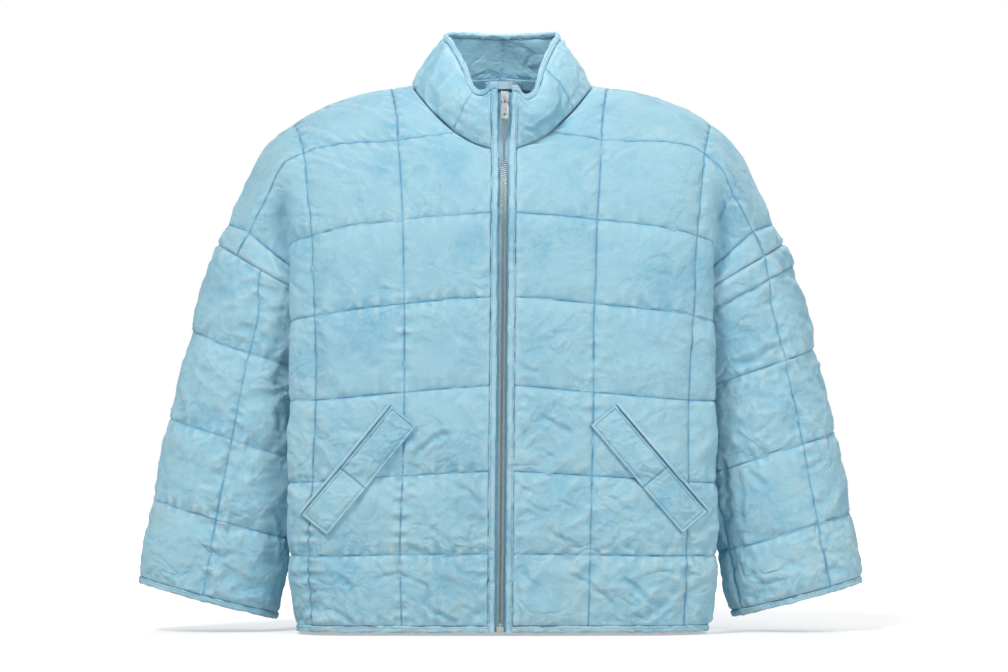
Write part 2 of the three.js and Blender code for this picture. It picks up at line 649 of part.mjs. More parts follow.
for (const [name, side] of SIDES) {
  add(`hem_binding_${name}`, strip(hemStations(fronts[name], frontGrid(side)[0])), bound);
  const grid = sleeveGrid(SLEEVES[name]);
  const [before, cuff] = grid.slice(-2).map((ring) => ring.slice(0, -1));
  const stations = cuff.map((point, k) => bindingStation(sleeves[name], point, point.clone().sub(before[k])));
  add(`cuff_binding_${name}`, strip(stations, true), bound);
}
const backHem = [...backHalf(-1)[0].slice(1).reverse(), ...backHalf(1)[0]];
add('hem_binding_back', strip(hemStations(back, backHem)), bound);

// Front edges, from the hem's lower edge to the top of the collar
function frontBinding(name, side) {
  const toZip = vector(-side, 0, 0);
  const rows = frontGrid(side).slice(0, NECK_BASE_ROW);
  const body = rows.map((row) => bindingStation(fronts[name], row[0], toZip));
  const stand = collarGrid(side)[0].slice(1).map((point) => bindingStation(collar, point, toZip));
  return [moved(body[0], vector(0, 0, -BINDING_REACH)), ...body, ...stand];
}
const frontBindings = { right: frontBinding('right', -1), left: frontBinding('left', 1) };
SIDES.forEach(([name]) => add(`front_binding_${name}`, strip(frontBindings[name]), bound));

// Collar top
function rimStations(side) {
  return collarGrid(side).map((column) => {
    const [below, top] = column.slice(-2);
    return bindingStation(collar, top, top.clone().sub(below));
  });
}
{
  const [right, left] = [rimStations(-1), rimStations(1)];
  const ends = [moved(right[0], vector(BINDING_REACH, 0, 0)), moved(left[0], vector(-BINDING_REACH, 0, 0))];
  const stations = [ends[0], ...right, ...left.slice(0, -1).reverse(), ends[1]];
  add('collar_binding', strip(stations), bound);
}

// Zip: each station lies midway between the two front bindings.
const ZIP = {
  tape: 0.9, tapeInner: 1.2, tapeOuter: 13, clear: 0.35, behind: 0.6, chainHalf: 2.9, chainThick: 2.4,
  boxTall: 6.5, boxHalf: 4.2, boxThick: 3.2, boxForward: 0.3, sliderZ: -11.5, sliderTall: 11,
};
const zipStations = frontBindings.right.map((right, k) => {
  const left = frontBindings.left[k];
  return {
    middle: right.middle.clone().lerp(left.middle, 0.5),
    inward: right.thick.clone().add(left.thick).setX(0).normalize(),
  };
});
const TAPE_DEPTH = BINDING_THICK / 2 + ZIP.behind + ZIP.tape / 2;
const CHAIN_DEPTH = TAPE_DEPTH - ZIP.tape / 2 - ZIP.clear - ZIP.chainThick / 2;

function zipStrip(stations, x, half, depth, thick) {
  return strip(stations.map(({ middle, inward }) => ({
    middle: middle.clone().addScaledVector(inward, depth).add(vector(x, 0, 0)),
    wide: vector(half, 0, 0),
    thick: inward.clone().multiplyScalar(thick / 2),
  })), false, FLAT);
}

const ZIP_ABOVE = 1.5; // the tapes end this far under the collar's top edge
const tapeHalf = (ZIP.tapeOuter - ZIP.tapeInner) / 2;
for (const [name, side] of SIDES) {
  const x = side * (ZIP.tapeInner + tapeHalf);
  const top = zipStations.length - 1;
  const stations = zipStations.map((one, k) => (k === top ? moved(one, vector(0, 0, -ZIP_ABOVE)) : one));
  add(`zip_tape_${name}`, zipStrip(stations, x, tapeHalf, TAPE_DEPTH, ZIP.tape), tape);
}

// A place on the zip at a height: its middle and the ways up and out.
function zipPlace(z) {
  const k = zipStations.findIndex((one) => one.middle.z > z);
  const [low, high] = [zipStations[k - 1], zipStations[k]];
  const s = (z - low.middle.z) / (high.middle.z - low.middle.z);
  const middle = low.middle.clone().lerp(high.middle, s);
  const inward = low.inward.clone().lerp(high.inward, s).normalize();
  return { middle, inward };
}
{
  const bottom = zipPlace(zipStations[1].middle.z - 1);
  const boxTop = bottom.middle.z + ZIP.clear;
  const stations = zipStations.filter((one) => one.middle.z > boxTop).slice(0, -1);
  const top = moved(zipStations[zipStations.length - 1], vector(0, 0, -ZIP_ABOVE));
  const first = zipPlace(boxTop + ZIP.clear);
  const chain = [first, ...stations.slice(1), top];
  add('zip_chain', zipStrip(chain, 0, ZIP.chainHalf, CHAIN_DEPTH, ZIP.chainThick), teeth);
  const boxLow = moved(bottom, vector(0, 0, -ZIP.boxTall + ZIP.clear));
  const boxHigh = moved(bottom, vector(0, 0, 0));
  const boxDepth = CHAIN_DEPTH - ZIP.boxForward;
  add('zip_box', zipStrip([boxLow, boxHigh], 0, ZIP.boxHalf, boxDepth, ZIP.boxThick), teeth);
}

// Slider: a channel over the chain with an arch that the pull tab's pin lies under. In its own frame x runs
// across, y up the zip and z out of the front.
const SLIDER = {
  half: 4.4, flange: 1.15, face: 0.45, front: 2, back: -2.2, archHalf: 0.9, archFoot: 1.4, archReach: 4,
  archIn: 4.2, archOut: 5.2,
};
const PULL = {
  pin: 0.75, out: 3.1, thick: 1.3, slotHalf: 1.35, slotEnd: -8.6, neck: 2.8, wide: 4.2, widenFrom: -8,
  widenTo: -14, end: -26.8, corner: 2, holeAt: -22, hole: 1.7,
};
const wasm = await Module();
wasm.setup();

function mergeBare(geometry) {
  geometry.deleteAttribute('normal');
  geometry.deleteAttribute('uv');
  return mergeVertices(geometry, 1e-4);
}

function toSolid(geometry) {
  const vertProperties = new Float32Array(geometry.attributes.position.array);
  const triVerts = new Uint32Array(geometry.index.array);
  return new wasm.Manifold(new wasm.Mesh({ numProp: 3, vertProperties, triVerts }));
}

function fromSolid(solid) {
  const mesh = solid.getMesh();
  const geometry = new THREE.BufferGeometry();
  geometry.setAttribute('position', new THREE.BufferAttribute(new Float32Array(mesh.vertProperties), 3));
  geometry.setIndex(new THREE.BufferAttribute(new Uint32Array(mesh.triVerts), 1));
  geometry.computeVertexNormals();
  return geometry;
}

function block(x0, x1, y0, y1, z0, z1) {
  const box = new THREE.BoxGeometry(x1 - x0, y1 - y0, z1 - z0);
  box.translate((x0 + x1) / 2, (y0 + y1) / 2, (z0 + z1) / 2);
  return toSolid(mergeBare(box));
}

function placeOnZip(mesh, z) {
  const { middle, inward } = zipPlace(z);
  const out = inward.clone().negate();
  const across = vector(1, 0, 0);
  mesh.position.copy(middle.addScaledVector(inward, CHAIN_DEPTH - ZIP.chainThick / 2));
  const upward = out.clone().cross(across);
  mesh.quaternion.setFromRotationMatrix(new THREE.Matrix4().makeBasis(across, upward, out));
}
{
  const tall = ZIP.sliderTall / 2;
  const { half, flange, face, front, archHalf, archFoot, archReach, archIn, archOut } = SLIDER;
  const plate = block(-half, half, -tall, tall, face, front);
  const wings = [-1, 1].map((side) => {
    const [from, to] = [side * half, side * (half - flange)].sort((one, two) => one - two);
    return block(from, to, -tall, tall, SLIDER.back, face + 0.1);
  });
  const feet = [-1, 1].map((end) => {
    const [from, to] = [end * archReach, end * (archReach - archFoot)].sort((one, two) => one - two);
    return block(-archHalf, archHalf, from, to, front - 0.1, archOut);
  });
  const bar = block(-archHalf, archHalf, -archReach, archReach, archIn, archOut);
  const solid = [...wings, ...feet, bar].reduce((sum, piece) => sum.add(piece), plate);
  placeOnZip(add('zip_slider', fromSolid(solid), silver), ZIP.sliderZ);
}
{
  const { pin, out, thick, slotHalf, slotEnd, neck, wide, end, corner, holeAt, hole } = PULL;
  const { widenFrom, widenTo } = PULL;
  const outline = new THREE.Shape();
  outline.moveTo(-neck, pin);
  outline.lineTo(-neck, widenFrom);
  outline.lineTo(-wide, widenTo);
  outline.lineTo(-wide, end + corner);
  outline.quadraticCurveTo(-wide, end, -wide + corner, end);
  outline.lineTo(wide - corner, end);
  outline.quadraticCurveTo(wide, end, wide, end + corner);
  outline.lineTo(wide, widenTo);
  outline.lineTo(neck, widenFrom);
  outline.lineTo(neck, pin);
  const slot = new THREE.Path();
  slot.moveTo(-slotHalf, -pin);
  slot.lineTo(slotHalf, -pin);
  slot.lineTo(slotHalf, slotEnd);
  slot.lineTo(-slotHalf, slotEnd);
  const eye = new THREE.Path();
  eye.absarc(0, holeAt, hole, 0, 2 * Math.PI);
  outline.holes.push(slot, eye);
  const tab = new THREE.ExtrudeGeometry(outline, { depth: thick, bevelEnabled: false, curveSegments: 4 });
  tab.translate(0, 0, out - thick / 2);
  placeOnZip(add('zip_pull', mergeBare(tab), silver), ZIP.sliderZ);
}

// Pockets: each slanted welt lies on its front. "x" and "z" are its middle, and "down" the way along it.
const POCKETS = table(['name', 'side', 'x', 'z', 'downX', 'downZ'], [
  ['right', -1, -162.4, -439.5, -0.63, -0.776], ['left', 1, 166.2, -437.8, 0.645, -0.764],
]);
const WELT = {
  halfLong: 80.5, halfWide: 18.4, thick: 2.6, puff: 2.2, clear: 0.9, steps: 14, stitch: 8, across: 4,
};
const LIP = { wide: 4.4, thick: 3.2, gap: 0.7, clear: 1.2 };

// The point of a front's outer side straight behind a point of the front view, and the way out of the cloth.
function onFront(cloth, x, z) {
  let best = null;
  const look = (ids) => {
    const [a, b, c] = ids.map((id) => cloth.outer[id]);
    const area = (b.x - a.x) * (c.z - a.z) - (c.x - a.x) * (b.z - a.z);
    const u = ((x - a.x) * (c.z - a.z) - (c.x - a.x) * (z - a.z)) / area;
    const v = ((b.x - a.x) * (z - a.z) - (x - a.x) * (b.z - a.z)) / area;
    if (Math.abs(area) < 1e-6 || u < 0 || v < 0 || u + v > 1) return;
    const point = a.clone().multiplyScalar(1 - u - v).addScaledVector(b, u).addScaledVector(c, v);
    if (best && best.point.y < point.y) return;
    const normal = vector(0, 0, 0);
    [1 - u - v, u, v].forEach((share, k) => normal.addScaledVector(cloth.normals[ids[k]], share));
    best = { point, normal: normal.normalize() };
  };
  for (const three of cloth.triangles().slice(0, cloth.quads.length * 2)) look(three);
  return best;
}

function pocketPlace(pocket, along, across) {
  const acrossX = pocket.side * Math.abs(pocket.downZ);
  const acrossZ = Math.abs(pocket.downX);
  const x = pocket.x + along * pocket.downX + across * acrossX;
  const z = pocket.z + along * pocket.downZ + across * acrossZ;
  return onFront(fronts[pocket.name], x, z);
}

const steps = (count, half) => Array.from({ length: count + 1 }, (unused, k) => half * ((2 * k) / count - 1));
for (const pocket of POCKETS) {
  const welt = new Cloth(`pocket_welt_${pocket.name}`);
  const onWelt = (along, across) => {
    const { point, normal } = pocketPlace(pocket, along, across);
    return point.addScaledVector(normal, WELT.clear + WELT.thick);
  };
  const rows = steps(WELT.across, WELT.halfWide).map((across) => (
    steps(WELT.steps, WELT.halfLong).map((along) => onWelt(along, across))));
  const puff = (i, j) => WELT.puff * dome(i, [0, WELT.stitch, WELT.steps]) * dome(j, [0, WELT.across]);
  welt.addGrid(rows, puff, pocket.side);
  welt.measure();
  welt.thicken(new Map(), WELT.thick);
  add(welt.name, welt.geometry(), quilted);
  const across = WELT.halfWide + LIP.gap + LIP.wide / 2;
  const stations = steps(WELT.steps, WELT.halfLong).map((along) => {
    const { point, normal } = pocketPlace(pocket, along, across);
    const wide = pocketPlace(pocket, along, across + 1).point.sub(point).setLength(LIP.wide / 2);
    const middle = point.addScaledVector(normal, LIP.clear + LIP.thick / 2);
    return { middle, wide, thick: normal.setLength(LIP.thick / 2) };
  });
  add(`pocket_lip_${pocket.name}`, strip(stations), bound);
}

// Inside the back of the neck: a tape over the seam, and a loop to hang the jacket by.
const NECK_TAPE = { wide: 11.6, thick: 1, clear: 1.5, below: 3, from: 135, count: 12 };
const LOOP = {
  left: 22, right: -20, foot: -0.5, arch: 5, half: 4.4, thick: 1.4, clear: 0.6, bow: 9.5, steps: 8,
};

// Where a level line from the neck's middle meets the back's inner side.
function insideBack(angle, z) {
  const to = neckSeam(angle, 1).setZ(0).normalize();
  const ray = new THREE.Ray(vector(0, 0, z), to);
  let nearest = null;
  for (const ids of back.triangles().slice(back.quads.length * 2, back.quads.length * 4)) {
    const [a, b, c] = ids.map((id) => back.inner[id - back.points.length]);
    const hit = ray.intersectTriangle(a, b, c, false, vector(0, 0, 0));
    if (hit && (!nearest || hit.length() < nearest.length())) nearest = hit;
  }
  return { point: nearest, to };
}
const neckTape = steps(NECK_TAPE.count, 180 - NECK_TAPE.from).map((turn) => {
  const angle = 180 + turn;
  const topZ = neckSeam(angle, 1).z - NECK_TAPE.below;
  const [top, low] = [insideBack(angle, topZ), insideBack(angle, topZ - NECK_TAPE.wide)];
  const middle = top.point.clone().lerp(low.point, 0.5);
  middle.addScaledVector(top.to, -NECK_TAPE.clear - NECK_TAPE.thick / 2);
  const wide = top.point.sub(low.point).setLength(NECK_TAPE.wide / 2);
  return { middle, wide, thick: top.to.clone().multiplyScalar(NECK_TAPE.thick / 2) };
});
add('neck_tape', strip(neckTape, false, FLAT), tape);
{
  const centre = neckTape[NECK_TAPE.count / 2];
  const up = centre.wide.clone().normalize();
  const out = vector(0, -up.z, up.y);
  const seat = NECK_TAPE.thick / 2 + LOOP.clear + LOOP.thick / 2;
  const stations = steps(LOOP.steps, 1).map((s) => {
    const x = THREE.MathUtils.mapLinear(s, -1, 1, LOOP.right, LOOP.left);
    const k = neckTape.findIndex((one) => one.middle.x <= x);
    const [from, to] = [neckTape[k - 1].middle, neckTape[k].middle];
    const middle = from.clone().lerp(to, (from.x - x) / (from.x - to.x));
    middle.addScaledVector(up, LOOP.foot + LOOP.arch * (1 - s ** 4));
    middle.addScaledVector(out, seat + LOOP.bow * (1 - s * s));
    const lean = up.clone().lerp(vector(0, 0, 1), 1 - s * s).normalize();
    const thick = vector(0, -lean.z, lean.y).multiplyScalar(LOOP.thick / 2);
    return { middle, wide: lean.multiplyScalar(LOOP.half), thick };
  });
  add('hanger_loop', strip(stations, false, FLAT), bound);
}

cloths.forEach((cloth) => add(cloth.name, cloth.geometry(), quilted));

export default jacket;
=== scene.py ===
# %% [markdown]
# # A quilted cotton jacket, filled out as when worn
# The jacket is two layers of washed cotton with thin wadding between them, stitched through in squares.
# It could be made as a smooth body with a quilt pattern painted on, but the padding catches light from the
# side, and that needs real height. So each panel is a real wall of cloth. Its surface comes from the same few
# named sizes as the rigid frame model, measured much more finely.

# %% The frame
import math

import bmesh
import bpy
import numpy as np
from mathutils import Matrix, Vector


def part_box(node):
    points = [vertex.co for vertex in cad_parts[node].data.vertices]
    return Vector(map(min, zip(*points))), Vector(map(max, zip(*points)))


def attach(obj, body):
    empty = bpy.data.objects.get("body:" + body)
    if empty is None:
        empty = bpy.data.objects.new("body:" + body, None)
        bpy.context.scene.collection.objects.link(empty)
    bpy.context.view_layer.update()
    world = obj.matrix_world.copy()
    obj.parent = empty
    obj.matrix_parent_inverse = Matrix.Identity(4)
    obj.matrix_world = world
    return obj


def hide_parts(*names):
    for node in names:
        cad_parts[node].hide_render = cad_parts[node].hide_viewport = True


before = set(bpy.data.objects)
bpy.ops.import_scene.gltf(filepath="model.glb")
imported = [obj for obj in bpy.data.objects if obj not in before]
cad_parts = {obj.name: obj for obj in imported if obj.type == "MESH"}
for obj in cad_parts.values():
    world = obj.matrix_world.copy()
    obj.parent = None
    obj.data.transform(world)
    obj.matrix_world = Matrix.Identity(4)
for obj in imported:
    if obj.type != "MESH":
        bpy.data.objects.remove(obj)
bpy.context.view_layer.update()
MM = 0.001
WALL = 3.0
PUFF = 3.9

# %% [markdown]
# ## The camera
# The photograph looks straight at the front from far away, level with the chest. A long lens from six metres
# gives the same flat view. One pixel of the photograph is 1.15 mm at the front of the body, and that scale
# lets a crease be placed where the photograph shows it.

# %% Camera
PIXEL = 1.15
PHOTO_WIDTH, PHOTO_HEIGHT = 1008, 672
ZIP_PIXEL = 502.5
FRONT_PLANE = -70.0
EYE_DISTANCE = 6000.0
EYE_HEIGHT = -286.35
SENSOR = 36.0


def photo_places(points):
    """Where points, in mm, fall in the photograph, in its pixels."""
    near = 1 + (points[..., 1] - FRONT_PLANE) / EYE_DISTANCE
    across = ZIP_PIXEL + points[..., 0] / PIXEL / near
    down = PHOTO_HEIGHT / 2 - (points[..., 2] - EYE_HEIGHT) / PIXEL / near
    return np.stack([across, down], axis=-1)


camera_data = bpy.data.cameras.new("camera")
camera_data.sensor_width = SENSOR
camera_data.lens = SENSOR * EYE_DISTANCE / (PHOTO_WIDTH * PIXEL)
camera = bpy.data.objects.new("camera", camera_data)
bpy.context.scene.collection.objects.link(camera)
camera.location = Vector(((PHOTO_WIDTH / 2 - ZIP_PIXEL) * PIXEL, FRONT_PLANE - EYE_DISTANCE,
    EYE_HEIGHT)) * MM
camera.rotation_euler = (math.radians(90), 0, 0)
camera_data.clip_end = 50
bpy.context.scene.camera = camera
print("camera: lens", round(camera_data.lens, 1), "mm")

# %% [markdown]
# ## Smooth curves through a few measures
# A pattern cutter draws a garment with a few measured points and a curved ruler. The same is done here: each
# level of the body names a few points, and smooth curves run through them across and up.

# %% Curves
def smooth(knots, values, t):
    """Values along a smooth curve through the values given at rising knots."""
    knots, values = np.asarray(knots, float), np.asarray(values, float)
    t = np.atleast_1d(np.asarray(t, float))
    shape = (-1,) + (1,) * (values.ndim - 1)
    gaps = np.diff(knots)
    rise = np.diff(values, axis=0) / gaps.reshape(shape)
    slope = np.empty_like(values)
    slope[0], slope[-1] = rise[0], rise[-1]
    before, after = gaps[:-1].reshape(shape), gaps[1:].reshape(shape)
    slope[1:-1] = (rise[:-1] * after + rise[1:] * before) / (before + after)
    i = np.clip(np.searchsorted(knots, t) - 1, 0, len(knots) - 2)
    s = ((t - knots[i]) / gaps[i]).reshape(shape)
    keep = (1 + 2 * s) * (1 - s) ** 2
    curl = s * (1 - s) * gaps[i].reshape(shape)
    return values[i] * keep + values[i + 1] * (1 - keep) + curl * ((1 - s) * slope[i] - s * slope[i + 1])


def spaced(stops, counts):
    """Numbers from stop to stop, with a count of steps for each stretch."""
    parts = [np.linspace(a, b, n, endpoint=False) for a, b, n in zip(stops, stops[1:], counts)]
    return np.concatenate(parts + [[stops[-1]]])


def unit(vectors):
    return vectors / np.maximum(np.linalg.norm(vectors, axis=-1, keepdims=True), 1e-9)


def smoothstep(x, low, high):
    t = np.clip((x - low) / (high - low), 0, 1)
    return t * t * (3 - 2 * t)


def bump_between(position, lines):
    """How full the padding is, from 0 on a stitch line to 1 in the middle between two lines."""
    lines = np.asarray(lines, float)
    k = np.clip(np.searchsorted(lines, position, side="right") - 1, 0, len(lines) - 2)
    s = (position - lines[k]) / (lines[k + 1] - lines[k])
    return 1 - np.abs(2 * s - 1) ** 4.5


# %% [markdown]
# ## Uneven cloth
# Washed cotton is never even: the padding shifts and the cloth crumples. Smooth random fields give that
# unevenness. Each one is drawn from a fixed seed, so the jacket comes out the same each time.

# %% Random fields
LATTICE = 97


def field(u, v, seed):
    """A smooth random height from -1 to 1, with features about one unit across."""
    table = np.random.default_rng(seed).uniform(-1, 1, (LATTICE, LATTICE))
    i, j = np.floor(u).astype(int), np.floor(v).astype(int)
    s, t = u - i, v - j
    s, t = s * s * (3 - 2 * s), t * t * (3 - 2 * t)
    pick = lambda a, b: table[(i + a) % LATTICE, (j + b) % LATTICE]
    low = pick(0, 0) * (1 - s) + pick(1, 0) * s
    high = pick(0, 1) * (1 - s) + pick(1, 1) * s
    return low * (1 - t) + high * t


def crumple(u, v, size, seed, turn=0.0):
    """Sharp little ridges with soft hollows between them, as crushed cotton has."""
    c, s = math.cos(turn), math.sin(turn)
    a, b = (u * c + v * s) / size, (v * c - u * s) / (size * 0.6)
    a, b = a + 0.6 * field(a * 0.7, b * 0.7, seed + 1), b + 0.6 * field(a * 0.7, b * 0.7, seed + 2)
    return 0.5 - np.abs(field(a, b, seed)) * 1.6


# %% [markdown]
# ## The body's measures
# The columns are the front edge, two upright stitch lines, the fold where the front turns to the side, the
# hollow behind that fold and the third stitch line. Heights are below the shoulder, in millimetres.

# %% Body levels
ROWS_AT = [0, 82, 177, 277, 380, 396, 477, 563, 620]
FRONT_ROWS = [0, 4, 8, 12, 16, 17, 21, 26, 29]
BACK_ROWS = [0, 4, 8, 12, 16, 17, 20, 24, 31]
ZIP_LEAN = {"hem_x": -2.9, "top_x": 2.3}
PLACKET_EDGE = 14.0
FRONT = {
    "at": [0, 82, 177, 277, 380, 396, 436, 477, 520, 563, 594, 620],
    "edge": [(-122, -617.4), (-130, -534.5), (-134, -440.3), (-136, -342.4), (-134, -241.5), (-133.5, -227),
             (-131, -185), (-126, -145.3), (-108, -105.2), (-84, -66.5), (-50, -29.1), (0, 2.3)],
    "one_x": {-1: [115, 116.9, 113.8, 111.8, 111.9, 112, 113, 114, 116.3, 119.7, 124.5, 130],
              1: [98, 100, 102, 103.9, 104.9, 106, 107, 108.1, 111.3, 113.7, 117.4, 122]},
    "one": [(-119, -617.5), (-127, -535.6), (-131, -445.4), (-132, -350.3), (-130, -249.4), (-129, -235),
            (-126, -193), (-121, -153.1), (-108, -108.1), (-84, -60.5), (-48, -21), (0, 1.6)],
    "two_x": {-1: [218, 221.5, 217.4, 213.4, 214.5, 215, 216.5, 217.8, 222.1, 227.8, 234.1, 240],
              1: [208, 210.6, 212.4, 213.4, 218.5, 219.5, 221, 222.8, 228.1, 232.8, 238.1, 242]},
    "two": [(-105, -617.5), (-111, -537.3), (-114, -452.8), (-114, -359.5), (-111, -263.2), (-110, -249),
            (-107, -210), (-102, -171.6), (-94, -121.7), (-76, -76.2), (-42, -53.9), (0, -39.5)],
    "fold": [(233, -88, -617.5), (241.2, -90, -537.2), (243.1, -92, -454.4), (243.1, -92, -360.7),
             (242.2, -90, -269.1), (242, -89.5, -256), (241, -88, -218), (240.4, -86, -179.3),
             (240.4, -84, -130.4),
             (245.8, -74, -86.1), (256.2, -42, -76), (267, 0, -61.5)],
    "dip": [(236, -52, -618), (238.6, -56, -537.6), (235.4, -60, -455.3), (224, -60, -362.1),
    (214, -58, -272),
            (214.5, -58, -267), (225, -61, -240), (237.4, -60, -199.9), (246.3, -62, -153.8),
            (266, -70, -123),
            (279.2, -44, -119.3), (297, -6, -116)],
    "three": [(236.5, -20, -618), (237, -20, -539.1), (228.9, -20, -455.4), (209.5, -20, -361.6),
    (194, -24, -271),
              (195, -23, -266), (210, -46, -248), (232.5, -58, -215.9), (258.3, -62, -192.9),
              (288.4, -62, -166.8),
              (300.3, -44, -161.5), (313.5, -22, -157)],
}
BACK = {
    "at": [0, 82, 177, 277, 380, 396, 436, 477, 520, 563, 594, 620],
    "edge": [(116, -620), (122, -539), (126, -447), (127, -349), (125, -251), (124.5, -235), (122.5, -195),
             (119, -154), (112, -108), (102, -61), (60, 4), (0, 2.3)],
    "one": [(111, 114, -620), (111, 120, -539), (111, 123, -449), (111, 124, -352), (111, 122, -255),
            (112, 121, -239), (113, 119, -199), (114, 116, -158), (117, 109, -111), (121, 97, -63),
            (125, 54, -11),
            (126, 0, 1.6)],
    "two": [(215, 102, -619.5), (217, 106, -539), (217, 109, -453), (217, 110, -359), (216, 110, -264),
            (217, 109, -249), (219, 106, -211), (222, 101, -170), (227, 92, -124), (233, 78, -77),
            (239, 44, -48),
            (241, 0, -39.5)],
    "fold": [(232.5, 84, -619), (238, 86, -539), (238, 88, -455), (235, 90, -361), (231, 92, -268),
    (233, 92, -254),
             (238, 90, -218), (241, 86, -178), (245, 80, -135), (251, 71, -87), (265, 40, -72),
             (267, 0, -61.5)],
    "dip": [(236.5, 52, -619), (240, 54, -539), (234, 58, -456), (221, 58, -362), (212, 64, -271),
    (213, 66, -266),
            (226, 71, -240), (237, 72, -203), (253, 72, -158), (273, 65, -124), (289, 36, -117),
            (297, -6, -116)],
    "three": [(237, 28, -619), (238, 30, -539), (228, 31, -456), (209, 31, -362), (194, 32, -271),
    (195, 31, -266),
              (210, 56, -248), (233, 69, -221), (265, 70, -192), (294, 60, -164), (306, 30, -158),
              (313.5, -22, -157)],
}
SIDE_SEAM = {"at": [0, 82, 177, 277, 380, 396],
             "place": [(236.3, 6, -618), (236, 8, -539), (225, 8, -456), (207, 8, -362), (198.2, 6, -269),
                       (197.6, 5, -255.6)]}
COLUMN_LINES = [0, 4, 8, 14, 15]
COLUMN_KNOTS = [0, 4, 8, 10, 12, 14, 15]
ARMHOLE = {"x": 261.7, "y": 5, "z": -217.7, "across": 74.5, "depth": 78, "out_x": 0.86, "out_z": 0.51}
NECK = {"side": 104.2, "front": -92, "back": 72, "side_z": 2, "front_drop": 75, "back_rise": 16}
RIGHT_SHOULDER = {"out": 4.6, "x": (200, 290), "z": (-290, -225)}


def zip_x(z):
    return ZIP_LEAN["hem_x"] + (ZIP_LEAN["top_x"] - ZIP_LEAN["hem_x"]) * (z + 620) / 620


def armhole(angle, side):
    """The armhole's leaning oval: 0 at the top of the arm, 90 in front, 180 under the arm."""
    turn = np.radians(angle)
    across, depth = ARMHOLE["across"] * np.cos(turn), ARMHOLE["depth"] * np.sin(turn)
    x = side * (ARMHOLE["x"] + across * ARMHOLE["out_x"])
    return np.stack([x, ARMHOLE["y"] - depth, ARMHOLE["z"] + across * ARMHOLE["out_z"]], axis=-1)


def neck_seam(angle, side):
    """The seam round the neck: 0 at the centre front, 90 at the shoulder, 180 at the centre back."""
    turn = np.radians(angle)
    forward = np.cos(turn)
    y = np.where(forward > 0, NECK["front"] * forward, -NECK["back"] * forward)
    z = NECK["side_z"] + np.where(forward > 0, -NECK["front_drop"], NECK["back_rise"]) * forward**2
    return np.stack([side * NECK["side"] * np.sin(turn), y, z], axis=-1)


def settled(points):
    """The right shoulder lies a little further out than the left, as in the photograph."""
    share = smoothstep(-points[..., 0], *RIGHT_SHOULDER["x"]) * smoothstep(points[..., 2],
        *RIGHT_SHOULDER["z"])
    moved = points.copy()
    moved[..., 0] -= RIGHT_SHOULDER["out"] * share
    return moved


# %% [markdown]
# ## One panel as a fine net
# A panel is a net of rows and columns. The net of a front starts beside the zip and ends at the side seam
# below and at the armhole above. The back's two halves start at the centre and, above, at the neck.

# %% Panel nets
NECK_CORNER_ROW = 24
LEAN_START_ROW = 21
ARM_ROW = 17
LEAN = 16.0
BACK_NECK_ROW = 27
BACK_STITCH_ROW = 24


def neck_corner(side):
    return math.degrees(math.asin((PLACKET_EDGE + side * zip_x(-72.0)) / NECK["side"]))


def with_x(table, x, side):
    return np.column_stack([side * np.asarray(x, float), np.asarray(table, float)])


def front_edge(row, side):
    """The front's edge beside the zip, and above that the neck seam."""
    at = np.interp(row, FRONT_ROWS, ROWS_AT)
    low = smooth(FRONT["at"], FRONT["edge"], at)
    place = np.column_stack([zip_x(low[:, 1]) + side * PLACKET_EDGE, low])
    angle = np.interp(row, [24, 26, 29], [neck_corner(side), 32, 90])
    s = np.clip((row - LEAN_START_ROW) / 3, 0, 1)[:, None]
    start = front_edge(np.array([float(LEAN_START_ROW)]), side)[0] if row[-1] > LEAN_START_ROW else place[-1]
    corner = neck_seam(neck_corner(side), side)
    leaning = start * (1 - s) + corner * s + np.array([0, -LEAN, 0]) * s * (1 - s)
    place = np.where(row[:, None] > LEAN_START_ROW, leaning, place)
    return np.where(row[:, None] >= NECK_CORNER_ROW, neck_seam(angle, side), place)


def back_edge(row, side):
    at = np.interp(row, BACK_ROWS, ROWS_AT)
    place = np.column_stack([np.zeros(len(row)), smooth(BACK["at"], BACK["edge"], at)])
    line = np.array([0, 102, -61.0])
    s = np.clip((row - BACK_STITCH_ROW) / (BACK_NECK_ROW - BACK_STITCH_ROW), 0, 1)[:, None]
    rising = line * (1 - s) + neck_seam(180.0, 1) * s + np.array([0, 8, 8.0]) * s * (1 - s)
    place = np.where(row[:, None] > BACK_STITCH_ROW, rising, place)
    angle = np.interp(row, [BACK_NECK_ROW, 31], [180, 90])
    return np.where(row[:, None] > BACK_NECK_ROW, neck_seam(angle, side), place)


def side_edge(row, at, arm_rows, angles, side):
    seam = smooth(SIDE_SEAM["at"], SIDE_SEAM["place"], np.minimum(at, 396)) * np.array([side, 1, 1])
    arm = armhole(np.interp(row, arm_rows, angles), side)
    return np.where(row[:, None] >= ARM_ROW, arm, seam)


def mirrored(table, side):
    return np.asarray(table, float) * np.array([side, 1, 1])


def net(controls, columns):
    """Points of a panel: a smooth curve across each row, through that row's control points."""
    rows = []
    for control in controls:
        knots = np.concatenate([[0], np.cumsum(np.linalg.norm(np.diff(control, axis=0), axis=1))])
        rows.append(smooth(knots, control, np.interp(columns, COLUMN_KNOTS, knots)))
    return settled(np.array(rows))


def front_net(side, row, columns):
    at = np.interp(row, FRONT_ROWS, ROWS_AT)
    read = lambda table: smooth(FRONT["at"], table, at)
    controls = np.stack([
        front_edge(row, side), read(with_x(FRONT["one"], FRONT["one_x"][side], side)),
        read(with_x(FRONT["two"], FRONT["two_x"][side], side)), read(mirrored(FRONT["fold"], side)),
        read(mirrored(FRONT["dip"], side)), read(mirrored(FRONT["three"], side)),
        side_edge(row, at, [17, 21, 26, 29], [180, 121, 51, 30], side),
    ], axis=1)
    return net(controls, columns)


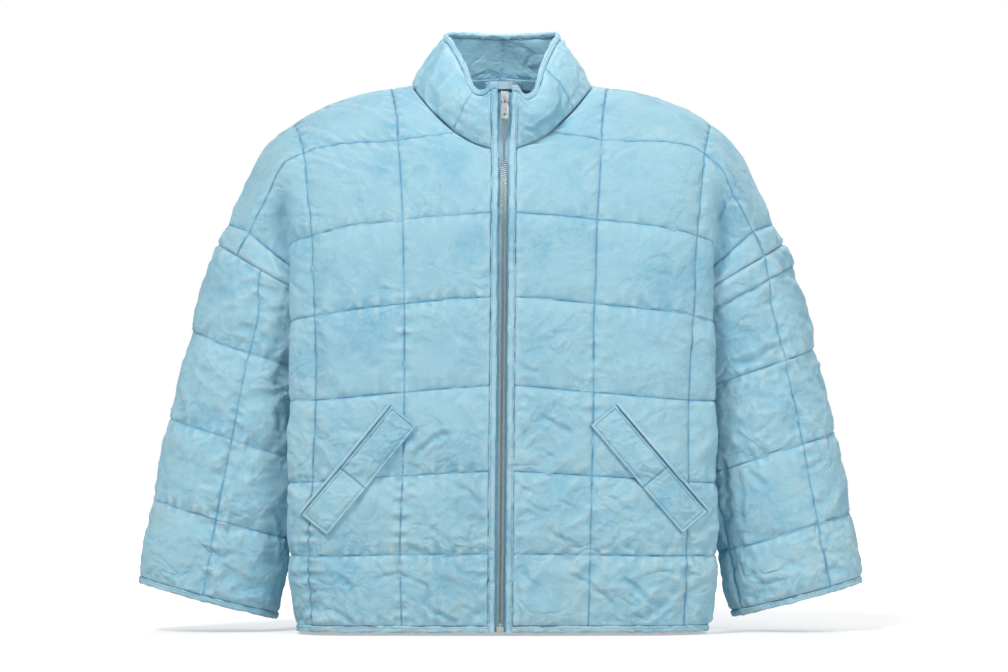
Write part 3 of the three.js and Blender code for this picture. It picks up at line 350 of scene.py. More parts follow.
def back_net(side, row, columns):
    at = np.interp(row, BACK_ROWS, ROWS_AT)
    read = lambda name: smooth(BACK["at"], mirrored(BACK[name], side), at)
    controls = np.stack([
        back_edge(row, side), read("one"), read("two"), read("fold"), read("dip"), read("three"),
        side_edge(row, at, [17, 20, 24, 31], [-180, -121, -45, 30], side),
    ], axis=1)
    return net(controls, columns)


# %% [markdown]
# ## From a net to a wall of cloth
# Cloth has an outer and an inner face. The outer face gets all the detail. The inner face hardly shows, so
# it takes only some of the outer net's rows and columns, and a rim joins the two all round the cut edge.

# %% Walls
INNER_STEP = 4


class Panel:
    """The nets of one piece, joined where their points meet."""

    def __init__(self, name):
        self.name = name
        self.points, self.normals, self.faces, self.coarse, self.marks = [], [], [], [], []
        self.count = 0

    def add(self, places, outward, marks, wrap=False, shared=None, keep_rows=(), step=INNER_STEP):
        """Adds a net. shared gives known corners in place of its first column, as (rows, ids)."""
        along = np.gradient(places, axis=1)
        if wrap:
            along = (np.roll(places, -1, axis=1) - np.roll(places, 1, axis=1)) / 2
        normals = unit(np.cross(along, np.gradient(places, axis=0))) * outward
        ids = self.count + np.arange(places[..., 0].size).reshape(places.shape[:2])
        if shared is not None:
            rows, known = shared
            ids[rows, 0] = known
        self.normals_here = normals
        self.points.append(places.reshape(-1, 3))
        self.normals.append(normals.reshape(-1, 3))
        self.marks.append({name: value.reshape(-1) for name, value in marks.items()})
        self.count += places[..., 0].size
        self.faces.append(self.quads(ids, outward, wrap))
        last_row, last_column = ids.shape[0] - 1, ids.shape[1] - 1
        rows = sorted(set(range(0, last_row, step)) | {last_row} | set(keep_rows))
        columns = sorted(set(range(0, last_column, step)) | (set() if wrap else {last_column}))
        self.coarse.append(self.quads(ids[np.ix_(rows, columns)], outward, wrap))
        return ids

    @staticmethod
    def quads(ids, outward, wrap):
        right = np.roll(ids, -1, axis=1) if wrap else ids[:, 1:]
        left = ids if wrap else ids[:, :-1]
        quads = np.stack([c.reshape(-1) for c in (left[:-1], right[:-1], right[1:], left[1:])], axis=1)
        return quads if outward > 0 else quads[:, ::-1]

    def close(self):
        self.points, self.normals = np.concatenate(self.points), np.concatenate(self.normals)
        self.faces, self.coarse = np.concatenate(self.faces), np.concatenate(self.coarse)
        self.marks = {k: np.concatenate([m[k] for m in self.marks]) for k in self.marks[0]}
        self.outer_edge, self.inner_edge = border(self.faces), border(self.coarse)
        return self


def border(faces):
    """The faces' free edges, as a table from each corner to the next."""
    starts = faces.reshape(-1)
    ends = np.roll(faces, -1, axis=1).reshape(-1)
    size = int(faces.max()) + 1
    forward = starts.astype(np.int64) * size + ends
    free = ~np.isin(forward, ends.astype(np.int64) * size + starts)
    return dict(zip(starts[free].tolist(), ends[free].tolist()))


SUNK = {"from": 0.35, "to": 0.68}


def held_off(height, wall=WALL):
    """Eases the deepest hollows, so that the outside never sinks through the wall to the inside."""
    free, room = -wall * SUNK["from"], wall * (SUNK["to"] - SUNK["from"])
    return np.where(height < free, free - room * np.tanh((free - height) / room), height)


def cloth_object(panel, height, inner_height=0.0, wall=WALL):
    """One closed piece of cloth from a panel and how far its padding rises at each point."""
    outer = panel.points + panel.normals * held_off(height, wall)[:, None]
    inner = panel.points - panel.normals * (wall - np.zeros(panel.count) - inner_height)[:, None]
    used = np.unique(panel.coarse)
    place = np.full(panel.count, -1)
    place[used] = panel.count + np.arange(len(used))
    faces = panel.faces.tolist() + place[panel.coarse][:, ::-1].tolist()
    for start, end in panel.inner_edge.items():
        walk = [start]
        while walk[-1] != end:
            walk.append(panel.outer_edge[walk[-1]])
        faces.append(walk[::-1] + [int(place[start]), int(place[end])])
    points = np.concatenate([outer, inner[used]])
    mesh = bpy.data.meshes.new(panel.name)
    mesh.from_pydata((points * MM).tolist(), [], faces)
    for name, value in {**panel.marks, "inside": np.zeros(panel.count)}.items():
        layer = mesh.attributes.new(name, "FLOAT", "POINT")
        full = np.concatenate([value, value[used] if name != "inside" else np.ones(len(used))])
        layer.data.foreach_set("value", full.astype(np.float32))
    mesh.shade_smooth()
    mesh.set_sharp_from_angle(angle=math.radians(50))
    spare = bpy.data.objects.new(panel.name, mesh)
    bpy.context.scene.collection.objects.link(spare)
    loose = np.ones(len(points), bool)
    loose[np.unique(panel.faces)] = False
    loose[panel.count:] = False
    if loose.any():
        drop_points(mesh, np.flatnonzero(loose))
    return spare


def drop_points(mesh, indices):
    """Takes out points that no face uses: the halves of a piece share a column down the centre."""
    net = bmesh.new()
    net.from_mesh(mesh)
    net.verts.ensure_lookup_table()
    bmesh.ops.delete(net, geom=[net.verts[i] for i in indices.tolist()], context="VERTS")
    net.to_mesh(mesh)
    net.free()


print("curves and nets are ready")

# %% [markdown]
# ## Creases placed one by one
# Each fold that the photograph shows has its own line here, in the photograph's pixels. A fold is a soft
# ridge or a soft trough along a line: deep in the middle, fading at both ends. The cloth just beside a trough
# swells a little, as real cloth does.

# %% Creases
def along_line(places, line):
    """The distance from each place to a line of points, in the same unit, and how far along it."""
    line = np.asarray(line, float)
    lengths = np.linalg.norm(np.diff(line, axis=0), axis=1)
    starts = np.concatenate([[0], np.cumsum(lengths)[:-1]])
    near, share = np.full(len(places), 1e9), np.zeros(len(places))
    for a, b, length, start in zip(line, line[1:], lengths, starts):
        t = np.clip((places - a) @ (b - a) / length**2, 0, 1)
        gap = np.linalg.norm(places - a - t[:, None] * (b - a), axis=1)
        closer = gap < near
        near[closer], share[closer] = gap[closer], ((start + t * length) / lengths.sum())[closer]
    return near, share


FOLD_DEPTH = 1.2
# painted shade: through this share a fold's trough is painted a deeper blue, while its ridge reads as rubbed
# paler
FOLD_MARK = 0.5  # how much of a fold's height the finish reads as a rubbed or a deeper blue place
FOLD_WIDTH = 0.72


def fold(places, line, depth, width):
    """Heights of one fold: depth below 0 is a trough, above 0 a ridge. All in pixels but the depth."""
    line, width = np.asarray(line, float), width * FOLD_WIDTH
    low, high = line.min(axis=0) - 3.5 * width, line.max(axis=0) + 3.5 * width
    close = np.flatnonzero(np.all((places > low) & (places < high), axis=1))
    heights = np.zeros(len(places))
    here = places[close]
    stray = np.stack([field(here[:, 0] / 9, here[:, 1] / 9, k) for k in (900, 901)], axis=1)
    gap, share = along_line(here + 2.6 * stray, line)
    ends = (1 - (2 * share - 1) ** 4) * np.exp(-(np.maximum(gap - 2.2 * width, 0)) ** 2)
    trough = np.exp(-((gap / width) ** 2)) - 0.28 * np.exp(-(((gap - 2.1 * width) / width) ** 2))
    heights[close] = depth * FOLD_DEPTH * trough * ends
    return heights


LEFT_OF_ZIP_FOLDS = [
    (-2.6, 4.2, [(411, 465), (418, 451), (434, 438), (457, 431)]),
    (-1.8, 3.4, [(451, 480), (466, 490), (482, 506), (487, 516)]),
    (-1.1, 4.0, [(451, 405), (467, 393)]), (-1.2, 3.0, [(404, 488), (423, 490)]),
    (-1.5, 3.2, [(401, 544), (426, 554)]),
    (-1.4, 3.0, [(423, 536), (447, 553)]), (-1.2, 2.8, [(451, 541), (487, 539)]),
    (-1.6, 3.2, [(338, 573), (360, 601)]),
    (-1.0, 2.8, [(325, 578), (340, 571)]), (-1.3, 3.0, [(371, 581), (398, 573)]),
    (-1.5, 3.0, [(451, 561), (461, 573), (476, 572)]),
    (-2.2, 3.4, [(406, 576), (426, 584), (429, 594), (426, 604), (434, 612), (451, 620), (462, 625)]),
    (-1.2, 2.6, [(399, 596), (416, 602)]), (-1.6, 3.2, [(323, 607), (340, 615), (358, 625)]),
    (-1.2, 2.8, [(307, 591), (328, 594)]), (-1.4, 3.0, [(459, 605), (487, 617)]),
    (-1.2, 3.0, [(346, 430), (360, 436)]),
    (-1.0, 5.0, [(356, 184), (363, 224)]), (-0.9, 5.0, [(367, 228), (371, 252)]),
    (-1.3, 5.0, [(451, 325), (469, 344), (482, 354)]), (-1.0, 4.5, [(367, 373), (381, 358)]),
]
RIGHT_OF_ZIP_FOLDS = [
    (-1.6, 3.2, [(520, 395), (535, 403)]), (-2.2, 3.6, [(536, 416), (561, 425), (571, 438)]),
    (-1.5, 3.2, [(543, 446), (555, 460)]), (-1.5, 3.0, [(515, 483), (538, 496)]),
    (-1.5, 3.0, [(523, 501), (551, 513)]),
    (-1.4, 3.0, [(555, 499), (581, 511)]), (-1.8, 3.2, [(543, 529), (568, 539), (581, 551)]),
    (-1.1, 3.0, [(593, 494), (604, 504)]), (-1.3, 3.0, [(621, 541), (633, 556)]),
    (-1.2, 3.0, [(644, 534), (656, 544)]),
    (-1.6, 3.4, [(518, 564), (538, 591)]), (-2.0, 3.4, [(563, 572), (588, 582), (600, 591), (619, 610)]),
    (-2.6, 4.0, [(618, 569), (634, 589), (658, 607)]), (-1.4, 3.0, [(658, 571), (681, 574)]),
    (-1.2, 3.2, [(696, 420), (706, 431)]), (-1.1, 4.0, [(549, 334), (578, 335)]),
    (-0.8, 3.5, [(599, 340), (616, 338)]),
    (-1.4, 3.6, [(515, 360), (524, 368), (541, 371)]), (-0.9, 5.0, [(664, 251), (673, 281)]),
    (-1.0, 4.0, [(671, 335), (689, 346)]), (-2.0, 3.4, [(704, 155), (713, 156), (717, 172)]),
    (-2.0, 3.6, [(719, 201), (724, 205), (717, 222)]),
]
SLEEVE_FOLDS = [
    (-2.0, 4.0, [(272, 382), (287, 394)]), (-3.0, 5.0, [(277, 407), (277, 431)]),
    (-1.8, 4.0, [(275, 512), (285, 537)]),
    (-3.0, 5.0, [(263, 237), (287, 262)]), (-2.0, 4.0, [(737, 430), (752, 456)]),
    (-2.0, 4.0, [(744, 466), (767, 488)]),
    (-2.2, 4.0, [(742, 481), (744, 527)]), (-2.0, 4.0, [(727, 466), (730, 522)]),
    (-1.8, 4.0, [(744, 545), (762, 584)]),
    (-1.6, 4.0, [(757, 392), (789, 404)]), (-2.4, 5.0, [(776, 341), (759, 358), (730, 365)]),
    (-1.4, 4.0, [(212, 470), (232, 482)]), (-1.3, 4.0, [(196, 540), (222, 556), (240, 552)]),
    (-1.2, 5.0, [(240, 330), (262, 322)]), (-1.4, 4.0, [(800, 470), (826, 462)]),
    (-1.5, 4.0, [(786, 560), (812, 572)]),
]
COLLAR_FOLDS = [
    (-2.4, 3.6, [(520, 128), (535, 133), (560, 110), (560, 85)]), (-1.6, 3.4, [(578, 68), (583, 90)]),
    (-1.2, 5.0, [(435, 84), (435, 122)]), (-1.0, 4.0, [(462, 100), (480, 118)]),
]
BACK_FOLDS = [
    (-1.6, 4.0, [(330, 300), (352, 312), (380, 309)]), (-2.0, 4.2, [(392, 420), (430, 436), (462, 430)]),
    (-1.5, 3.6, [(560, 386), (590, 398), (604, 392)]), (-1.7, 3.6, [(610, 470), (640, 488), (662, 510)]),
    (-2.2, 4.0, [(330, 540), (356, 556), (402, 560)]), (-1.6, 3.6, [(440, 566), (470, 590), (512, 600)]),
    (-2.0, 4.0, [(540, 560), (566, 584), (610, 596)]), (-1.3, 3.6, [(350, 480), (364, 500)]),
    (-1.2, 5.0, [(440, 210), (452, 260)]), (-1.2, 5.0, [(590, 200), (600, 246)]),
    (-1.5, 3.6, [(480, 480), (500, 500)]),
    (-1.4, 3.6, [(320, 610), (352, 618)]), (-1.6, 3.6, [(640, 575), (672, 600)]),
]


def folds_on(panel, folds, facing):
    """Sums the folds over the points that face the camera (facing -1) or away from it (facing 1)."""
    places = photo_places(panel.points)
    seen = smoothstep(panel.normals[:, 1] * facing, 0.05, 0.45)
    return sum(fold(places, line, depth, width) for depth, width, line in folds) * seen


print("folds:", sum(len(f) for f in (LEFT_OF_ZIP_FOLDS, RIGHT_OF_ZIP_FOLDS, SLEEVE_FOLDS, COLLAR_FOLDS,
    BACK_FOLDS)))

# %% [markdown]
# ## Padding between the stitches
# Each square of the quilting puffs up a little. At a stitch line the thread pulls the cloth down into a narrow
# groove, and because the thread is a little shorter than the cloth, the cloth gathers into small puckers that
# fade out within a couple of centimetres. Low down on the body the cloth is crumpled more, as worn jackets are.

# %% Padding
GROOVE = {"deep": 1.1, "wide": 1.25}
PUCKER = {"high": 3.3, "fade": 10.0, "long": 6.5}
CRUMPLE = [(52, 2.8, 0.9), (34, 2.4, 0.7), (15, 1.3, 0.5), (8, 0.4, -1.1)]  # size, height in mm, turn


def nearest_line(position, lines):
    """Signed distance, in steps, from each position to the nearest of the lines."""
    lines = np.asarray(lines, float)
    return position - lines[np.abs(position[..., None] - lines).argmin(axis=-1)]


def lengths_along(places, axis):
    step = np.linalg.norm(np.diff(places, axis=axis), axis=-1)
    first = np.zeros_like(np.take(step, [0], axis=axis))
    return np.cumsum(np.concatenate([first, step], axis=axis), axis=axis)


def wander_of(along, up, seed):
    """How far the stitching strays from its line, in millimetres."""
    return 1.3 * field(along / 37, up / 37, seed) + 0.8 * field(along / 10, up / 10, seed + 8)


def edge_fade(along, up, fade_start):
    """0 on the cut edges of a net and 1 a few millimetres inside, so that neighbours meet evenly."""
    ends = [along[:, -1:] - along, up, up[-1:] - up] + ([along] if fade_start else [])
    return smoothstep(np.minimum.reduce(ends), 0.0, 6.0)


def padding(places, row, column, row_lines, column_lines, seed, rough, flat=1.0, hand=1, fade_start=True):
    """Heights of the outer cloth over its net, and the marks that the finish reads."""
    along, up = lengths_along(places, 1), lengths_along(places, 0)
    inside = edge_fade(along, up, fade_start)
    rows, columns = np.meshgrid(row, column, indexing="ij")
    row_step = np.gradient(up, axis=0) / np.gradient(rows, axis=0)
    column_step = np.gradient(along, axis=1) / np.gradient(columns, axis=1)
    along = along * hand
    wander = wander_of(along, up, seed) * inside
    across_row = nearest_line(rows, row_lines) * row_step + wander
    across_column = nearest_line(columns, column_lines) * column_step + wander
    puff = PUFF * bump_between(rows, row_lines) * bump_between(columns, column_lines) * flat
    heights = puff * (1 + 0.25 * field(along / 55, up / 55, seed + 3))
    seam, loose = np.zeros_like(heights), np.zeros_like(heights)
    for gap, run in ((across_row, along), (across_column, up)):
        gap = np.abs(gap)
        line = np.exp(-((gap / GROOVE["wide"]) ** 2))
        seam = np.maximum(seam, line)
        fade = np.exp(-gap / PUCKER["fade"])
        strength = 0.55 + 0.6 * np.clip(field(along / 60, up / 60, seed + 5) + 0.4, 0, 1)
        waves = field(run / PUCKER["long"], gap / 22 + 7, seed + 6)
        loose += PUCKER["high"] * fade * strength * waves * (1 - 0.6 * line) * (0.45 + 0.6 * rough)
    rough_here = rough * (0.6 + 0.5 * field(along / 90, up / 90, seed + 7))
    for size, high, turn in CRUMPLE:
        loose += high * rough_here * crumple(along, up, size, seed + int(size), turn)
    heights += loose * inside - GROOVE["deep"] * seam
    return heights, seam * (0.75 + 0.25 * field(along / 9, up / 9, seed + 2))


def cloth_marks(heights, seam):
    """What the finish reads: closeness to a stitch line, and how far small ridges stand out."""
    soft = heights.copy()
    for _ in range(6):
        soft[1:-1] = (soft[:-2] + soft[2:] + 2 * soft[1:-1]) / 4
        soft[:, 1:-1] = (soft[:, :-2] + soft[:, 2:] + 2 * soft[:, 1:-1]) / 4
    return {"seam": seam, "ridge": heights - soft}


print("quilt groove", GROOVE["wide"] * 2, "mm wide,", GROOVE["deep"], "mm deep")

# %% [markdown]
# ## The fronts
# Each front is one cut piece, from the zip to the side seam and from the hem to the shoulder, with the quilting
# already sewn when it is cut. The net is about 2.4 mm fine, which is enough for the small puckers.

# %% Fronts
FINE = {"front": (36, 43, 43, 45, 7, 36, 43, 45), "columns": (43, 45, 15, 17, 20, 12)}
FRONT_ROW_LINES = [0, 4, 8, 12, 16, 21, 26, 29]
BACK_ROW_LINES = [0, 4, 8, 12, 16, 20, 24, 31]
SIDE_PRESSED = {"column": (8.5, 10.5), "rows": (11, 21), "left": 0.25}


def side_flat(rows, columns):
    """The padding of the side is pressed flat where the arm hangs against it."""
    low, high = SIDE_PRESSED["rows"]
    there = smoothstep(rows, low - 0.7, low + 0.7) * (1 - smoothstep(rows, high - 0.7, high + 0.7))
    return 1 - (1 - SIDE_PRESSED["left"]) * there * smoothstep(columns, *SIDE_PRESSED["column"])


def roughness_of(rows, low, high, at=(2, 14)):
    """More crumpled low down, smoother above."""
    return high + (low - high) * (1 - smoothstep(rows, *at))


def quilt_net(panel, places, outward, row, column, row_lines, seed, rough, hand=1, fade_start=True, **ways):
    rows, columns = np.meshgrid(row, column, indexing="ij")
    heights, seam = padding(places, row, column, row_lines, COLUMN_LINES, seed, rough(rows),
                            side_flat(rows, columns), hand, fade_start)
    ids = panel.add(places, outward, {"height": heights, **cloth_marks(heights, seam)}, **ways)
    along, up = lengths_along(places, 1), lengths_along(places, 0)
    wander = wander_of(along * hand, up, seed) * edge_fade(along, up, fade_start)
    return ids, heights, wander, panel.normals_here


def keep_surface(name, panel, creases, first, net, row, column):
    """Keeps a net's outer surface for what is sewn on it later."""
    ids, heights, wander, normals = net
    raised = held_off(heights + creases[first:first + heights.size].reshape(heights.shape))
    normals_of[name] = normals
    surfaces[name] = (nets[name] + normals * raised[..., None], normals, wander, row, column)


row = spaced(FRONT_ROWS, FINE["front"])
column = spaced(COLUMN_KNOTS, FINE["columns"])
front_rows = row
nets, panels, surfaces, normals_of = {}, {}, {}, {}
for name, side, folds, seed in (("right", -1, LEFT_OF_ZIP_FOLDS, 100), ("left", 1, RIGHT_OF_ZIP_FOLDS, 200)):
    panel = Panel(f"front_{name}_cloth")
    nets[f"front_{name}"] = places = front_net(side, row, column)
    corner = int(np.argmin(np.abs(row - NECK_CORNER_ROW)))
    net_made = quilt_net(panel, places, side, row, column, FRONT_ROW_LINES, seed,
                         lambda r: roughness_of(r, 1.15, 0.45), keep_rows=(corner,))
    panel.close()
    height = panel.marks.pop("height")
    creases = folds_on(panel, folds, -1)
    panel.marks["ridge"] += creases * FOLD_MARK
    panels[f"front_{name}"] = (panel, height + creases)
    keep_surface(f"front_{name}", panel, creases, 0, net_made, row, column)
    print(panel.name, len(panel.faces) * 2, "outer triangles")

# %% [markdown]
# ## The back
# The back is cut whole. Its two halves share the points down the centre as far as the neck. The photograph
# doesn't show it, so its folds are given one by one, as many and as deep as those in front.

# %% Back
FINE["back"] = (34, 41, 41, 42, 7, 33, 41, 54)
FINE["back_columns"] = (44, 43, 15, 15, 18, 12)
row = spaced(BACK_ROWS, FINE["back"])
column = spaced(COLUMN_KNOTS, FINE["back_columns"])
neck_row = int(np.argmin(np.abs(row - BACK_NECK_ROW)))
neck_rows = np.arange(neck_row + 1)
panel = Panel("back_cloth")
shared, halves = None, {}
for side in (1, -1):
    nets[f"back_{side}"] = places = back_net(side, row, column)
    net_made = quilt_net(panel, places, -side, row, column, BACK_ROW_LINES, 300,
                         lambda r: roughness_of(r, 1.15, 0.5), side, False, keep_rows=(neck_row,),
                             shared=shared)
    shared = (neck_rows, net_made[0][neck_rows, 0])
    halves[side] = net_made
panel.close()
height = panel.marks.pop("height")
creases = folds_on(panel, BACK_FOLDS, 1)
panel.marks["ridge"] += creases * FOLD_MARK
panels["back"] = (panel, height + creases)
keep_surface("back_1", panel, creases, 0, halves[1], row, column)
keep_surface("back_-1", panel, creases, halves[1][1].size, halves[-1], row, column)
print(panel.name, len(panel.faces) * 2, "outer triangles")

# %% [markdown]
# ## The sleeves
# A sleeve is a slanting tube. Its rings start on the armhole itself and turn, over the first few centimetres,
# into the sleeve's own flattened ovals. The stitch lines go round it and along it as on the body.

# %% Sleeves
SLEEVE_MORPH = 60.0
ARM_INDEX = [0, 4, 9, 12, 19, 23, 26]
ARM_ANGLES = [180, 121, 51, 30, -45, -121, -180]
SLEEVES = {
    "right": {
        "side": -1, "at": [0, 104, 207, 302, 396],
        "rings": [(325.8, -179.7, 197.6, -255.6, 78, 5), (361, -282, 213.6, -330.5, 70, 3),
                  (386, -383.1, 229.6, -430.6, 63, -2), (405.5, -475.9, 245.5, -521.4, 57, -8),
                  (421, -565, 260.5, -607, 52, -12)],
        "stitches": ([0, 7, 14, 20, 26], [180, 87, -3, -93, -180]),
    },
    "left": {
        "side": 1, "at": [0, 28, 125, 222, 317, 393],
        "rings": [(325.8, -179.7, 197.6, -255.6, 78, 5), (336, -207, 201.5, -275.9, 76, 5),
                  (361, -302.2, 218.6, -350.8, 68, 2), (384.2, -398.2, 233.5, -446.7, 61, -4),
                  (401.5, -492.1, 250.5, -536.5, 56, -9), (416, -565, 265.5, -604.6, 52, -12)],
        "stitches": ([0, 3, 9, 15, 21, 26], [180, 148, 60, -28, -116, -180]),
    },
}


def sleeve_net(sleeve, at, index):
    """Rings of a sleeve down its length; index goes round from under the arm, over the front."""
    share = smoothstep(at, 0, SLEEVE_MORPH)[:, None]
    start, own = np.interp(index, ARM_INDEX, ARM_ANGLES), np.interp(index, *sleeve["stitches"])
    angle = np.radians(start * (1 - share) + own * share)
    out_x, out_z, in_x, in_z, half, y = smooth(sleeve["at"], sleeve["rings"], at).T[:, :, None]
    to_out = (1 + np.cos(angle)) / 2
    x = sleeve["side"] * (in_x + (out_x - in_x) * to_out)
    return settled(np.stack([x, y - half * np.sin(angle), in_z + (out_z - in_z) * to_out], axis=-1))


index = np.linspace(0, 26, 209)[:-1]
for name, seed in (("right", 400), ("left", 500)):
    sleeve = SLEEVES[name]
    at = np.linspace(0, sleeve["at"][-1], 174)
    places = sleeve_net(sleeve, at, index)
    ats, indices = np.meshgrid(at, index, indexing="ij")
    pressed = smoothstep(4.6 - np.minimum(indices, 26 - indices), 0, 1.2) * (1 - smoothstep(ats, 170, 215))
    around_lines = sorted(set(sleeve["stitches"][0]))
    heights, seam = padding(places, at, index, sleeve["at"], around_lines, seed, 0.85 + 0.25 * ats / 396,
                            1 - 0.75 * pressed)
    panel = Panel(f"sleeve_{name}_cloth")
    panel.add(places, -sleeve["side"], {"height": heights, **cloth_marks(heights, seam)}, wrap=True)
    panel.close()
    height = panel.marks.pop("height")
    creases = folds_on(panel, SLEEVE_FOLDS, -1) + folds_on(panel, SLEEVE_FOLDS, 1)
    panel.marks["ridge"] += creases * FOLD_MARK
    panels[f"sleeve_{name}"] = (panel, height + creases)
    nets[f"sleeve_{name}"] = places
    along, up = lengths_along(places, 1), lengths_along(places, 0)
    net_made = (None, heights, wander_of(along, up, seed) * edge_fade(along, up, True), panel.normals_here)
    keep_surface(f"sleeve_{name}", panel, creases, 0, net_made, at, index)
    print(panel.name, len(panel.faces) * 2, "outer triangles")

# %% [markdown]
# ## The collar
# The stand collar is quilted like the body and softened by wear: on the wearer's left it slumps outwards into
# a round pouch. It is one strip round the neck, measured at eight places on each side.

# %% Collar
COLLAR_AT = [6, 20, 32, 51, 70, 90, 135, 180]
COLLAR = {
    "right": [(-12.5, -92, -3, 2), (-23.9, -90, -10.5, 4), (-34.9, -83, -6.2, 6), (-48.1, -58, 24.6, 5),
              (-62, -26, 49.5, 3), (-69, 6, 59, 2), (-50.9, 40, 62.8, 2), (0, 50, 62.3, 3)],
    "left": [(15.8, -92, -4, 2), (26.9, -93, -15, 8), (37.9, -86, -10, 12), (49.1, -62, 21.6, 8),
             (61.4, -28, 48.6, 3), (67.4, 6, 59, 0.5), (50.9, 40, 62.8, 1), (0, 50, 62.3, 3)],
}
COLLAR_LINES = {"right": [0, 4, 9, 14, 18], "left": [0, 6, 11, 18]}


def collar_net(name, side, step, rise):
    """The collar's rows from the neck seam up; step counts round from the zip, 0 to 18."""
    nodes = [neck_corner(side), (neck_corner(side) + 32) / 2, 32, 32 + 58 / 3, 32 + 116 / 3, 90, 112.5,
        135, 157.5, 180]
    angle = np.interp(step, 2 * np.arange(10), nodes)
    foot_nodes = neck_seam(np.array(nodes), side)
    foot = np.stack([np.interp(step, 2 * np.arange(10), foot_nodes[:, k]) for k in range(3)], axis=1)
    top = smooth(COLLAR_AT, COLLAR[name], angle)
    climb = top[:, :3] - foot
    around = neck_seam(angle + 5, side) - neck_seam(angle - 5, side)
    out = unit(np.cross(around, climb)) * side
    s = rise[:, None, None]
    return foot + climb * s + out * (top[:, 3:] * 4) * (s * (1 - s))


rise = np.linspace(0, 1, 34)
panel = Panel("collar_cloth")
shared = None
for name, side in (("right", -1), ("left", 1)):
    step = np.linspace(0, 18, 112)[::-1]
    nets[f"collar_{name}"] = places = collar_net(name, side, step, rise)
    rough = 0.75 + 0 * places[..., 0]
    heights, seam = padding(places, rise, step, [0, 1], COLLAR_LINES[name], 600, rough, 0.6, side, False)
    lining, _ = padding(places, rise, step, [0, 1], COLLAR_LINES[name], 640, rough * 0.9, 0.5, side, False)
    marks = {"height": heights, "lining": lining, **cloth_marks(heights, seam)}
    ids = panel.add(places, -side, marks, shared=shared, step=2)
    shared = (np.arange(len(rise)), ids[:, 0])
    normals_of[f"collar_{name}"] = panel.normals_here
panel.close()
height = panel.marks.pop("height")
creases = folds_on(panel, COLLAR_FOLDS, -1)
panel.marks["ridge"] += creases * FOLD_MARK
panels["collar"] = (panel, height + creases)
collar_lining = -0.5 * panel.marks.pop("lining")
print(panel.name, len(panel.faces) * 2, "outer triangles")

# %% [markdown]
# ## Washed quilted cotton
# The cloth is a pale blue cotton, dyed and then mineral washed: paler, greyer clouds lie over it, every ridge
# is rubbed lighter and the stitch grooves stay a deeper blue. It is matt with a little fuzz. The colour is made
# from noise at several sizes and from the marks that each net carries, so it needs no picture. Creases too
# fine for the net are valleys of noise: they tip the light a little, and their bottoms get painted shade, a
# deeper blue. The hollows of the net and the troughs of the folds get painted shade too, the pocket mouths a
# darker painted shade, and the inner faces a painted light, a paler blue than the outside.

# %% Cloth material
def rgb(red, green, blue):
    """A colour given as on a colour chart, 0 to 255, turned into light values."""
    linear = lambda c: c / 12.92 if c <= 0.04045 else ((c + 0.055) / 1.055) ** 2.4
    return tuple(linear(c / 255) for c in (red, green, blue)) + (1.0,)


class Finish:
    """A material and short ways to add and join its nodes."""

    def __init__(self, name):
        self.material = bpy.data.materials.new(name)
        self.material.use_nodes = True
        self.tree = self.material.node_tree
        self.shader = self.tree.nodes["Principled BSDF"]
        self.place = self.add("ShaderNodeTexCoord").outputs["Object"]

    def add(self, kind, **values):
        node = self.tree.nodes.new(kind)
        for name, value in values.items():
            setattr(node, name, value)
        return node

    def join(self, source, target):
        self.tree.links.new(source, target)

    def noise(self, size, detail=3.0, roughness=0.55, stretch=(1, 1, 1), twist=0.0):
        """Noise with features of a size in metres, from 0 to 1."""
        scale = self.add("ShaderNodeMapping")
        scale.inputs["Scale"].default_value = tuple(s / size for s in stretch)
        self.join(self.place, scale.inputs["Vector"])
        node = self.add("ShaderNodeTexNoise")
        node.inputs["Scale"].default_value = 1.0
        node.inputs["Detail"].default_value = detail
        node.inputs["Roughness"].default_value = roughness
        node.inputs["Distortion"].default_value = twist
        self.join(scale.outputs[0], node.inputs["Vector"])
        return node.outputs["Fac"]

    def creases(self, size, wide):
        """Sharp valleys that wind between broad ridges: 0 in a valley and 1 on a ridge."""
        bent = self.maths("ABSOLUTE", self.maths("SUBTRACT", self.noise(size, 2, 0.45, twist=0.6), 0.5), 0)
        return self.span(bent, 0.0, wide / 2)

    def ramp(self, value, stops):
        node = self.add("ShaderNodeValToRGB")
        marks = node.color_ramp.elements
        while len(marks) < len(stops):
            marks.new(0.5)
        for mark, (at, colour) in zip(marks, stops):
            mark.position, mark.color = at, colour
        self.join(value, node.inputs["Fac"])
        return node.outputs["Color"]

    def span(self, value, low, high, to_low=0.0, to_high=1.0):
        node = self.add("ShaderNodeMapRange")
        for name, number in (("From Min", low), ("From Max", high), ("To Min", to_low), ("To Max", to_high)):
            node.inputs[name].default_value = number
        self.join(value, node.inputs["Value"])
        return node.outputs["Result"]

    def maths(self, operation, a, b):
        node = self.add("ShaderNodeMath", operation=operation)
        for socket, value in zip(node.inputs, (a, b)):
            if isinstance(value, (int, float)):
                socket.default_value = value
            else:
                self.join(value, socket)
        return node.outputs[0]

    def mix(self, share, one, two, kind="MIX"):
        node = self.add("ShaderNodeMix", data_type="RGBA", blend_type=kind)
        sockets = [node.inputs["Factor"], node.inputs[6], node.inputs[7]]
        for socket, value in zip(sockets, (share, one, two)):
            if isinstance(value, (int, float, tuple)):
                socket.default_value = value
            else:
                self.join(value, socket)
        return node.outputs[2]

    def mark(self, name):
        return self.add("ShaderNodeAttribute", attribute_name=name).outputs["Fac"]

    def bump(self, height, distance, strength=1.0, under=None):
        node = self.add("ShaderNodeBump")
        node.inputs["Distance"].default_value = distance
        node.inputs["Strength"].default_value = strength
        self.join(height, node.inputs["Height"])
        if under is not None:
            self.join(under, node.inputs["Normal"])
        return node.outputs["Normal"]


